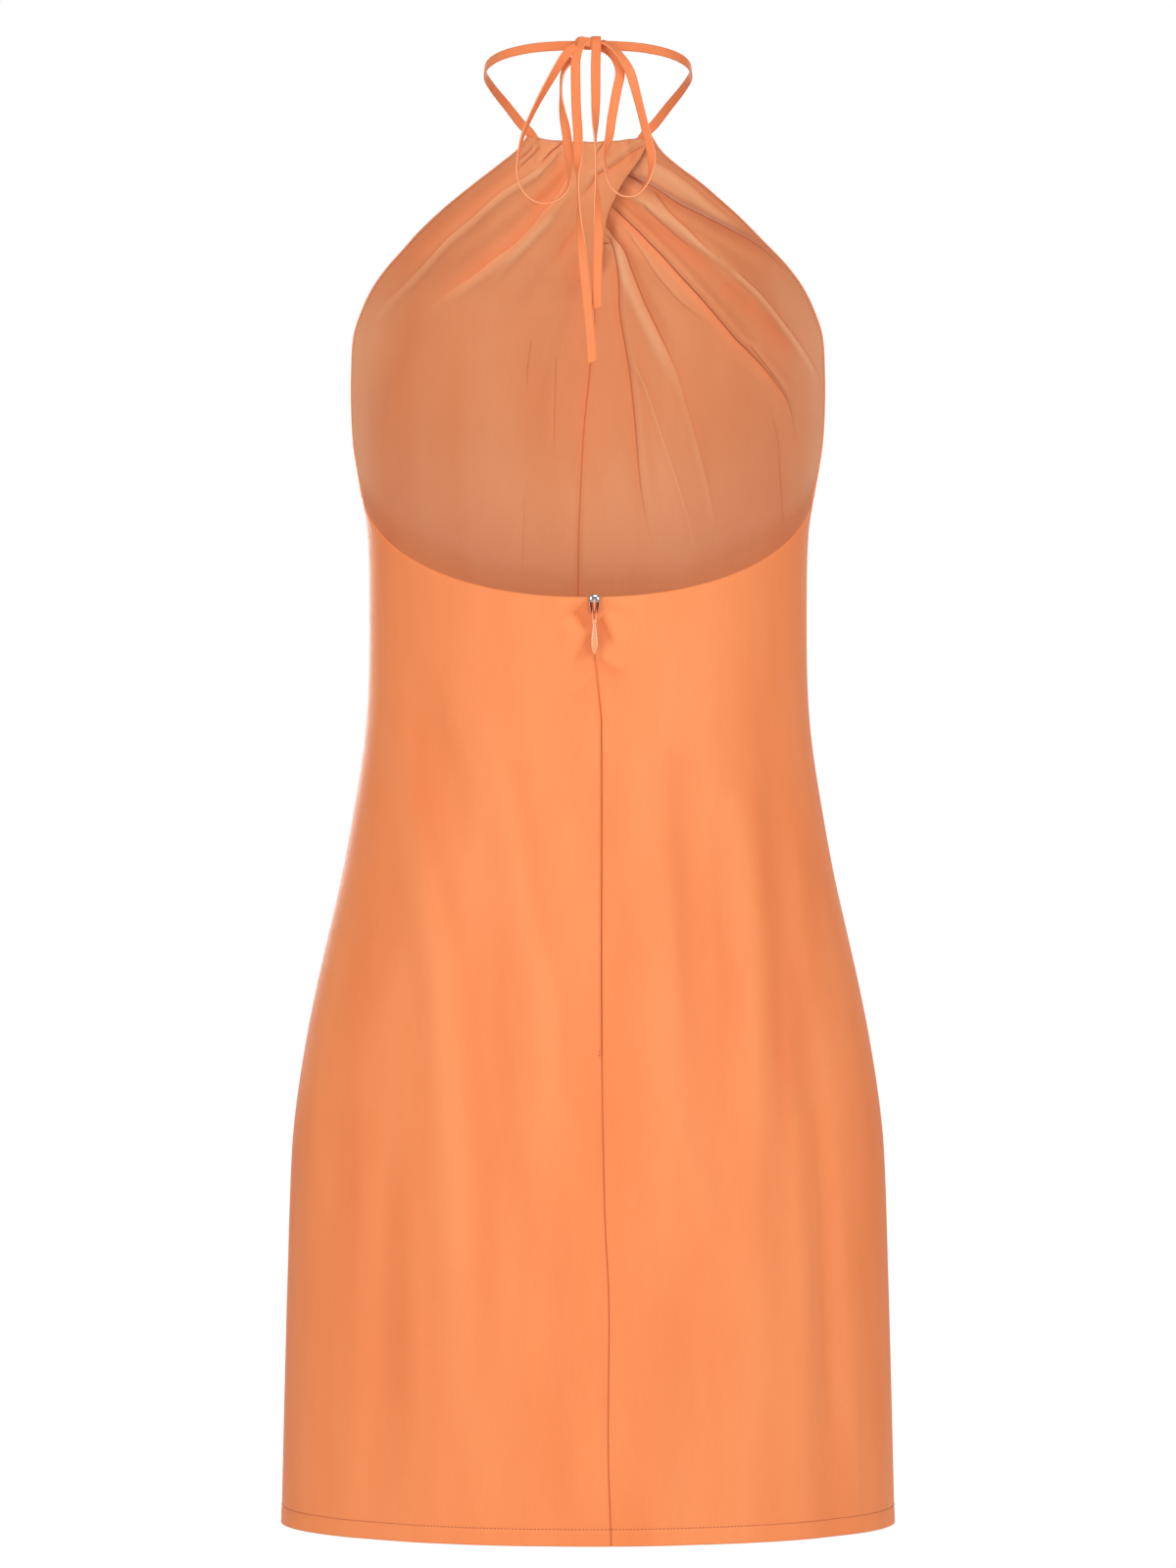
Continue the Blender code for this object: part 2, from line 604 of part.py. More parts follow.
def flat_strap(name, route, mirror_x, collection, material):
    """A flat strap along a route, turning as its flat side turns."""
    size = Vector((-1.0 if mirror_x else 1.0, 1.0, 1.0))
    centres = spline_through([Vector(row[:3]) * MM * size for row in route], STRAP_STEP)
    share = [i / (len(centres) - 1) * (len(route) - 1) for i in range(len(centres))]
    builder = bmesh.new()
    rings = []
    for i, centre in enumerate(centres):
        before, after = centres[max(i - 1, 0)], centres[min(i + 1, len(centres) - 1)]
        tangent = (after - before).normalized()
        low = min(int(share[i]), len(route) - 2)
        face = Vector(route[low][3:]).lerp(Vector(route[low + 1][3:]), share[i] - low)
        face = face * size
        face = (face - tangent * face.dot(tangent)).normalized()
        side = tangent.cross(face)
        half, thick = STRAP_WIDTH / 2, STRAP_THICKNESS / 2
        outline = (
            (half, 0.0),
            (0.8 * half, thick),
            (-0.8 * half, thick),
            (-half, 0.0),
            (-0.8 * half, -thick),
            (0.8 * half, -thick),
        )
        rings.append([builder.verts.new(centre + side * s + face * f) for s, f in outline])
    for low, high in zip(rings, rings[1:]):
        for i in range(len(low)):
            j = (i + 1) % len(low)
            builder.faces.new((low[i], low[j], high[j], high[i]))
    builder.faces.new(rings[0][::-1])
    builder.faces.new(rings[-1])
    return object_from(builder, name, collection, material)


def tie_knot(collection, material):
    builder = bmesh.new()
    bmesh.ops.create_uvsphere(builder, u_segments=16, v_segments=10, radius=1.0)
    bmesh.ops.scale(builder, vec=KNOT_RADII, verts=builder.verts)
    knot = object_from(builder, "knot", collection, material)
    knot.location = KNOT_CENTRE
    return knot


def laid_inside(grid, row_place, column_place, moved_in):
    """Point on a panel's own facets, at a place counted in rows and columns, moved in."""
    row = min(int(row_place), len(grid) - 2)
    column = min(int(column_place), len(grid[0]) - 2)
    up, along = row_place - row, column_place - column
    low = grid[row][column].lerp(grid[row][column + 1], along)
    high = grid[row + 1][column].lerp(grid[row + 1][column + 1], along)
    normal = (grid[row][column + 1] - grid[row][column]).cross(high - low).normalized()
    inward = -normal if normal.y > 0 else normal
    return low.lerp(high, up) + inward * moved_in


def zip_tape(name, grid, collection, material):
    """A zip tape along the inside of a back half, made from the half's own points."""
    moved_in = CLOTH_WALL / 2 + SEAM_GAP + TAPE_THICKNESS / 2
    per_metre = BACK_ROWS / (BACK_NECK_HEIGHT - HEM_HEIGHT)
    low = (ZIP_END_HEIGHT - HEM_HEIGHT) * per_metre
    high = (ZIP_TOP_HEIGHT - HEM_HEIGHT) * per_metre
    places = [low] + list(range(math.ceil(low), math.floor(high) + 1)) + [high]
    tape = []
    for place in places:
        row = grid[min(int(place), BACK_ROWS - 1)]
        width = TAPE_WIDTH / (row[1] - row[0]).length
        tape.append([laid_inside(grid, place, width * k, moved_in) for k in (0.0, 1.0)])
    return cloth_panel(name, tape, collection, material, thickness=TAPE_THICKNESS)


def boolean(item, operation, other, guides):
    """Joins or cuts with another object, which becomes a hidden guide."""
    step = item.modifiers.new(operation.lower(), "BOOLEAN")
    step.operation = operation
    step.object = other
    for collection in other.users_collection:
        collection.objects.unlink(other)
    guides.objects.link(other)
    other.hide_render = True
    other.display_type = "WIRE"


def block(name, size, centre, collection, material, bevel=0.0):
    builder = bmesh.new()
    bmesh.ops.create_cube(builder, size=1.0)
    bmesh.ops.scale(builder, vec=size, verts=builder.verts)
    item = object_from(builder, name, collection, material)
    item.location = centre
    if bevel:
        edge = item.modifiers.new("rounded", "BEVEL")
        edge.width = bevel
        edge.segments = 2
    return item


def slider_place():
    """Centre of the slider's front face, on the outside of the back seam."""
    height = SLIDER_TOP_HEIGHT - SLIDER_LENGTH / 2
    x = read_column(BACK_SEAM, "x", height) * MM
    skin = plain_back(back_seam_across(1, height), BACK_NECK_HEIGHT).y + CLOTH_WALL / 2
    return Vector((x, skin + SEAM_GAP + SLIDER_THICKNESS, height))


def pull_hinge():
    place = slider_place()
    rise = PULL_BAR_RADIUS + (BRIDGE_OPENING - 2 * PULL_BAR_RADIUS) / 2
    return place + Vector((0.0, rise, 0.0))


def zip_slider(collection, guides, material):
    """A slider that narrows downward, with a bridge that holds the pull's bar."""
    place = slider_place()
    builder = bmesh.new()
    bmesh.ops.create_cube(builder, size=1.0)
    for vert in builder.verts:
        width = SLIDER_TOP_WIDTH if vert.co.z > 0 else SLIDER_FOOT_WIDTH
        vert.co.x *= width
        vert.co.y *= SLIDER_THICKNESS
        vert.co.z *= SLIDER_LENGTH
    slider = object_from(builder, "zip_slider", collection, material)
    slider.location = place - Vector((0.0, SLIDER_THICKNESS / 2, 0.0))
    edge = slider.modifiers.new("rounded", "BEVEL")
    edge.width = 0.0006
    edge.segments = 2
    sunk = 0.0006
    bridge_size = Vector((BRIDGE_WIDTH, BRIDGE_RISE + sunk, BRIDGE_LENGTH))
    bridge_centre = place + Vector((0.0, (BRIDGE_RISE - sunk) / 2, 0.0))
    bridge = block("bridge", bridge_size, bridge_centre, collection, material, 0.0005)
    window_size = Vector((2 * BRIDGE_WIDTH, BRIDGE_OPENING, BRIDGE_WINDOW))
    window_centre = place + Vector((0.0, BRIDGE_OPENING / 2, 0.0))
    window = block("bridge_window", window_size, window_centre, collection, material)
    boolean(slider, "UNION", bridge, guides)
    boolean(slider, "DIFFERENCE", window, guides)
    return slider


def zip_pull(collection, guides, material):
    """A teardrop pull: a bar under the slider's bridge, two arms and a rounded tab."""
    hinge = pull_hinge()
    tab_length = PULL_LENGTH - PULL_ARM_LENGTH + 0.001
    outline = []
    steps = 18
    for k in range(steps):
        turn = 2 * math.pi * k / steps
        down = (1 - math.cos(turn)) / 2
        half = PULL_WIDTH / 2 * math.sin(turn) * (0.50 + 0.62 * down)
        outline.append((half, -PULL_ARM_LENGTH + 0.001 - tab_length * down))
    builder = bmesh.new()
    front = [builder.verts.new((x, PULL_THICKNESS / 2, z)) for x, z in outline]
    back = [builder.verts.new((x, -PULL_THICKNESS / 2, z)) for x, z in outline]
    builder.faces.new(front)
    builder.faces.new(back[::-1])
    for i in range(steps):
        j = (i + 1) % steps
        builder.faces.new((front[j], front[i], back[i], back[j]))
    pull = object_from(builder, "zip_pull", collection, material)
    edge = pull.modifiers.new("rounded", "BEVEL")
    edge.width = 0.0003
    edge.segments = 1
    edge.limit_method = "ANGLE"
    pull.location = hinge
    arm_size = Vector((2 * PULL_BAR_RADIUS, 2 * PULL_BAR_RADIUS, PULL_ARM_LENGTH))
    for name, side in (("left_arm", 1), ("right_arm", -1)):
        centre = hinge + Vector((side * PULL_ARM_SPREAD, 0.0, -PULL_ARM_LENGTH / 2))
        boolean(pull, "UNION", block(name, arm_size, centre, collection, material), guides)
    builder = bmesh.new()
    bmesh.ops.create_cone(
        builder,
        cap_ends=True,
        segments=12,
        radius1=PULL_BAR_RADIUS * 1.02,
        radius2=PULL_BAR_RADIUS * 1.02,
        depth=2 * PULL_ARM_SPREAD + 3 * PULL_BAR_RADIUS,
    )
    bar = object_from(builder, "hinge_bar", collection, material)
    bar.rotation_euler = (0.0, math.pi / 2, 0.0)
    bar.location = hinge
    boolean(pull, "UNION", bar, guides)
    yoke_size = Vector((2 * PULL_ARM_SPREAD, 1.9 * PULL_BAR_RADIUS, 0.0016))
    yoke_centre = hinge + Vector((0.0, 0.0, 0.0002 - PULL_ARM_LENGTH))
    boolean(pull, "UNION", block("yoke", yoke_size, yoke_centre, collection, material), guides)
    return pull


def build_dress():
    parts = new_collection("halter_dress")
    guides = new_collection("guides")
    cloth = new_material("dress_cloth", (0.92, 0.33, 0.13), 0.55)
    strap = new_material("strap_cloth", (0.95, 0.30, 0.10), 0.50)
    tape = new_material("zip_tape", (0.90, 0.32, 0.14), 0.70)
    metal = new_material("zip_metal", (0.72, 0.60, 0.56), 0.25, 1.0)
    enamel = new_material("pull_enamel", (0.93, 0.42, 0.24), 0.30)

    cloth_panel("front_left", front_grid(1, "L"), parts, cloth)
    cloth_panel("front_right", front_grid(-1, "R"), parts, cloth)
    for side, panel, name in ((1, "l", "left"), (-1, "r", "right")):
        grid = back_grid(side, panel)
        cloth_panel(f"back_{name}", grid, parts, cloth)
        zip_tape(f"zip_tape_{name}", grid, parts, tape)
    flat_strap("neck_strap_left", NECK_STRAP, False, parts, strap)
    flat_strap("neck_strap_right", NECK_STRAP, True, parts, strap)
    flat_strap("bow_loop_left", LEFT_LOOP, False, parts, strap)
    flat_strap("bow_loop_right", RIGHT_LOOP, False, parts, strap)
    flat_strap("tie_tail_left", LEFT_TAIL, False, parts, strap)
    flat_strap("tie_tail_right", RIGHT_TAIL, False, parts, strap)
    tie_knot(parts, strap)
    zip_slider(parts, guides, metal)
    zip_pull(parts, guides, enamel)


for old in list(bpy.data.objects):
    bpy.data.objects.remove(old)
build_dress()
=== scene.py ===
"""Looks of the halter mini dress: draped cloth, flat straps tied in a bow, and the zip.

Metres, +Z up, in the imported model's frame: the front faces -Y, the open back +Y, and +X is
the wearer's left. The tables in mm repeat those of the solids, so the cloth lies on them.
"""

import math
from collections import namedtuple

import bmesh
import bpy
import numpy as np
from mathutils import Matrix, Vector


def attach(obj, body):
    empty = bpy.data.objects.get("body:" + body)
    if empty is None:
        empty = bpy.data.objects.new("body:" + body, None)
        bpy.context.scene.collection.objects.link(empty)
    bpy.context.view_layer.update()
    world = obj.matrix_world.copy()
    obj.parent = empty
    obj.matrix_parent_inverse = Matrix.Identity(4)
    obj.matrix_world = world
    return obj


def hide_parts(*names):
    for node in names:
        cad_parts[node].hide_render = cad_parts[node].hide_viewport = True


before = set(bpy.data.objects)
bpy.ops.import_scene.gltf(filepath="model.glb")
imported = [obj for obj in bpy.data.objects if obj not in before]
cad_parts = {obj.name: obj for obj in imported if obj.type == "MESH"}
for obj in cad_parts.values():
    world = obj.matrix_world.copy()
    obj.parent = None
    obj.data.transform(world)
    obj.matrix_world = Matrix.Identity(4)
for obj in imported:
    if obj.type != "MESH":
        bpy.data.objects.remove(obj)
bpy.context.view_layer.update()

MM = 0.001

# Camera: level, behind the dress, far enough for the photograph's flat view
CAMERA_PLACE = (0.0, 3.932, -0.4465)
CAMERA_LENS = 150.0
SENSOR_LONG_SIDE = 36.0

# Studio: a dim dome, and large soft lamps aimed at the middle of the dress
DOME_STRENGTH = 0.42
LIT_MIDDLE = (0.0, -0.06, -0.42)
Lamp = namedtuple("Lamp", "name place size power")
LAMPS = (
    Lamp("back_left", (2.1, 2.45, 0.3), 1.7, 43.0),
    Lamp("back_right", (-2.2, 2.4, 0.25), 1.7, 40.0),
    Lamp("back_low", (0.1, 2.9, -1.10), 1.0, 3.0),
    Lamp("back_top", (-0.3, 2.2, 1.5), 1.2, 18.0),
    Lamp("front_left", (1.0, -3.2, 0.1), 1.3, 36.0),
    Lamp("front_right", (-0.9, -3.1, 0.6), 1.3, 42.0),
)

# Driving sizes, as in the solids
HEM_HEIGHT = -0.897
NECKLINE_HEIGHT = -0.0452
NECKLINE_DIP = 0.0033
NECKLINE_DIP_REACH = 0.030
CLOTH_WALL = 0.0012
SEAM_GAP = 0.0003
UNDERARM_HEIGHT = -0.2707
BACK_NECK_HEIGHT = -0.3348
SCOOP_POWER = 1.05
CROSSING_HEIGHT = -0.131
LIFT_FADE = 0.50
COVERED_MARGIN = 0.08
SEAM_FLAT = 0.009
STRAP_WIDTH = 0.0058
STRAP_THICKNESS = 0.0013
STRAP_STEP = 0.0012
STRAP_AROUND = 16
STRAP_SLANT_REACH = 0.004
TUBE_DEPTH = 0.0025
TUBE_WALLS = (0.14, 0.40)
ZIP_END_HEIGHT = -0.612
ZIP_TOP_HEIGHT = -0.3375
TAPE_WIDTH = 0.011

# The cloth itself. Each small shape at an edge or seam has its height, positive out of the
# dress, and its width. Rows and columns are runs: the last value and the number of steps.
# The girth shares are the way round from the middle to the side, by the half width.
SHELL_THICKNESS = 0.0005
GIRTH_SHARE = 1.25
BACK_GIRTH_SHARE = 1.4
FRONT_ROWS = ((-0.884, 12), (-0.350, 62), (NECKLINE_HEIGHT, 244))
FRONT_COLUMNS = ((0.03, 8), (0.95, 122), (1.0, 17))
BACK_ROWS = ((0.0231, 13), (0.80, 84), (1.0, 84))
BACK_COLUMNS = ((0.035, 14), (0.97, 104), (1.0, 8))
SIDE_EASE = 0.012
CROSSING_EASE = 0.012
CROSSING_FREE = 0.015
FRONT_SEAM_DIP = (-0.0004, 0.0011)
SIDE_SEAM_DIP = (-0.0006, 0.0012)
CROSSING_ROLL = (0.0008, 0.0026)
CROSSING_ROLL_INSET = 0.0035
ARMHOLE_STITCH_RISE = (0.00035, 0.0009)
ARMHOLE_EDGE_TURN = (-0.0005, 0.0010)
NECKLINE_EDGE_TURN = (-0.0006, 0.0009)
HEM_RISE = (0.00022, 0.0012)
HEM_STITCH_DIP = (-0.00042, 0.0010)
BACK_SEAM_EASE = 0.006
BACK_SEAM_GROOVE = (0.0008, 0.0013)
ZIP_GROOVE_MORE = 0.0005
ZIP_EASE = 0.01
HEM_DEPTH = 0.010
HEM_STITCH_PITCH = 0.0022
TAPE_SHELL = 0.0005
COIL_PITCH = 0.0015
COIL_STEPS = 10
COIL_RADIUS = 0.0008
COIL_WIRE = 0.00030
COIL_AROUND = 5
COIL_ACROSS = 1.35
COIL_INWARD = 0.75
COIL_MIDDLE = 0.85
TAPE_START = 0.0003
TAPE_CLEARANCE = 0.0001
TAPE_COLUMNS = 7
WAVES = 6
WAVE_HEIGHT = 0.10
ARMHOLE_STITCH_INSET = 0.0034
ARMHOLE_STITCH_PITCH = 0.0021
ARMHOLE_STITCH_RADIUS = 0.00016
FOOT_STITCH_RADIUS = 0.00026
FOOT_STITCH_START = 0.001
FOOT_STITCH_TOP = 0.013
STITCH_RADIUS = 0.00030
STITCH_AROUND = 6
STITCH_RINGS = ((0.0, 0.25), (0.22, 1.0), (0.78, 1.0), (1.0, 0.25))
FLOOR_HEIGHT = -1.40
FLOOR_RADIUS = 3.2


def rows_of(kind, rows):
    """Named rows from plain ones."""
    return tuple(kind(*row) for row in rows)


Section = namedtuple("Section", "height edge_x edge_y front_y back_y wrap_degrees")
SECTIONS = rows_of(Section, (
    (-897, 187, -62, -197, 73, 0), (-814, 185, -62, -195, 71.5, 0),
    (-746.5, 183.2, -62, -193, 69.5, 0), (-670, 180.6, -62, -190, 66, 0),
    (-638, 177.4, -62, -188.5, 64, 0), (-600, 171.4, -62, -186, 61, 0),
    (-566, 164.6, -62.5, -183.5, 57, 0), (-536, 157.8, -63, -181, 53, 0),
    (-504, 150.6, -64, -178, 48, 0), (-470, 144.3, -65.5, -175, 43, 0),
    (-423, 137, -68, -172, 36, 0), (-386, 134.2, -69.5, -170.5, 33, 0),
    (-326.5, 133.8, -71, -173, 33.5, 0), (-292, 135, -71.6, -177.5, 35, 0),
    (-270.7, 138.3, -72, -181, 36, 0), (-254.1, 141.6, -77, -184, 36, 5),
    (-237.7, 144.4, -82, -186, 36, 9), (-215, 145.9, -87, -186.5, 36, 13),
    (-193, 146.1, -92.5, -184, 36, 17), (-169.8, 144.8, -98, -177, 36, 22),
    (-152, 139.1, -101, -170, 36, 27), (-139.1, 132.8, -103, -164, 36, 31),
    (-127.5, 124.7, -105, -158, 36, 34), (-115.8, 114.5, -106.5, -152, 36, 37),
    (-104.1, 104.2, -107.5, -146.5, 36, 39), (-91.2, 90.3, -108.5, -140, 36, 41),
    (-74.7, 70.4, -109, -132.5, 36, 42), (-64.2, 56.6, -109, -128, 36, 42),
    (-54.4, 45, -108.5, -124, 36, 40), (-45.2, 38.5, -108, -120.5, 36, 38),
))

FrontSeam = namedtuple("FrontSeam", "height x")
FRONT_SEAM = rows_of(FrontSeam, (
    (-897, 0), (-600, 2), (-400, 5), (-313, 6.2), (-231, 3.1), (-186, -1.2), (-150, -4.4),
    (-131, -5.8), (-111.2, -6.5), (-89.3, -5.5), (-71.5, -3.6), (-45.2, -0.5),
))

Crossing = namedtuple("Crossing", "height reach lift")
CROSSINGS = rows_of(Crossing, (
    (-143, 0, 0), (-131, 0, 0.95), (-122, 2, 1.8), (-111.2, 3.2, 2.8), (-102, 4.1, 3.6),
    (-89.3, 7.3, 3.8), (-82, 11.7, 3.6), (-71.5, 18.3, 3), (-51.5, 33.7, 1.5),
    (-45.2, 38, 1.3),
))

BackSeam = namedtuple("BackSeam", "height x")
BACK_SEAM = rows_of(BackSeam, (
    (-897, -13.8), (-840, -12), (-754, -12.4), (-699, -9.9), (-596, -8.2), (-411, -8.1),
    (-396, -6.9), (-381, -5.3), (-369, -4.1), (-334.8, -3.8),
))

# Main folds, as in the solids: positive depth goes outward, away from the wearer
Fold = namedtuple(
    "Fold",
    "panels name top_x top_z mid_x mid_z end_x end_z top_width end_width depth",
)
FOLDS = rows_of(Fold, (
    ("R", "deep_pleat", -17, -66, -69, -95, -128, -131, 6, 9, 2.4),
    ("R", "band_over_pleat", -14, -58, -62, -80, -118, -113, 9, 10.4, -1.8),
    ("R", "long_pleat", -8, -82, -66, -135, -127, -214, 5.5, 11, 1.4),
    ("R", "middle_pleat", -8, -94, -34, -142, -60, -196, 5.5, 10, 1.3),
    ("R", "steep_pleat", -13, -106, -26, -188, -45, -320, 5.5, 11, 1.1),
    ("R", "upper_soft_fold", -30, -78, -75, -110, -130, -172, 6.5, 11, 0.9),
    ("R", "lower_soft_fold", -14, -100, -46, -130, -83, -162, 6, 10, -0.9),
    ("R", "side_fold", -104, -180, -126, -214, -134, -262, 9, 11, 0.9),
    ("R", "waist_fold", -32, -192, -52, -248, -70, -310, 9, 13, 0.8),
    ("L", "edge_ridge", 14, -51, 71, -96, 131, -152, 7, 12, -1.2),
    ("L", "dark_trough", -2, -55, 49, -103, 126, -160, 7, 13, 1.3),
    ("L", "middle_ridge", 20, -82, 48, -113, 80, -146, 8, 13, -0.9),
    ("L", "upper_crease", -33, -51, -9, -69, 10, -84, 5, 8, 1.3),
    ("L", "inner_trough", 2, -84, 24, -124, 58, -176, 7, 14, 0.9),
    ("L", "long_soft_fold", -2, -120, 20, -190, 42, -290, 8, 16, 0.8),
    ("L", "side_hollow", 100, -160, 120, -205, 128, -260, 12, 14, 1.2),
    ("LR", "left_tuck", 32, -42, 30, -52, 34, -68, 3.6, 5, 1.2),
    ("LR", "second_tuck", 19, -42, 17, -52, 22, -66, 3.6, 5, 1.2),
    ("LR", "middle_tuck", 5, -43, 3, -54, 6, -68, 3.6, 5, 1.3),
    ("LR", "fourth_tuck", -8, -43, -11, -54, -13, -68, 3.6, 5, 1.2),
    ("LR", "right_tuck", -23, -42, -25, -52, -30, -66, 3.6, 5, 1.2),
    ("L", "front_left_drape", 78, -470, 92, -680, 96, -910, 22, 34, 4),
    ("R", "front_right_drape", -64, -500, -82, -690, -90, -910, 20, 32, 4.4),
    ("L", "front_side_drape", 140, -560, 158, -740, 160, -910, 18, 26, -3.4),
    ("R", "front_side_ridge", -136, -540, -150, -720, -154, -910, 18, 26, -3.2),
    ("l", "back_diagonal_hollow", 126, -330, 92, -425, 58, -540, 16, 24, -2),
    ("l", "back_light_band", 116, -370, 90, -560, 70, -840, 20, 30, 2.8),
    ("l", "back_inner_band", 84, -380, 50, -455, 20, -620, 13, 18, 1.4),
    ("l", "back_second_hollow", 64, -440, 58, -600, 28, -840, 14, 22, -1.8),
    ("l", "back_left_hollow", 128, -560, 121, -757, 130, -980, 18, 26, -3),
    ("l", "back_edge_ridge", 158, -560, 168, -740, 171, -905, 11, 15, 1.8),
    ("l", "back_seam_hollow", 28, -640, 22, -760, 20, -960, 13, 18, -1.4),
    ("r", "back_inner_hollow", -66, -370, -60, -500, -72, -660, 13, 18, -1.6),
    ("r", "back_right_crease", -96, -350, -113, -454, -119, -620, 12, 16, -1.5),
    ("r", "back_right_ridge", -92, -420, -98, -560, -98, -880, 16, 24, 2.6),
    ("r", "back_right_hollow", -40, -660, -62, -790, -66, -960, 18, 26, -1.8),
    ("r", "back_light_patch", -20, -570, -56, -664, -90, -760, 15, 20, 1.6),
    ("r", "back_edge_fold", -124, -520, -142, -730, -150, -980, 13, 19, -3.6),
))
FOLD_SAMPLES = 24
FOLD_RAMP = 0.12
FOLD_FADE = 0.45
DRAPE_WIDTH = 10.5
DRAPE_RAMP = 0.45

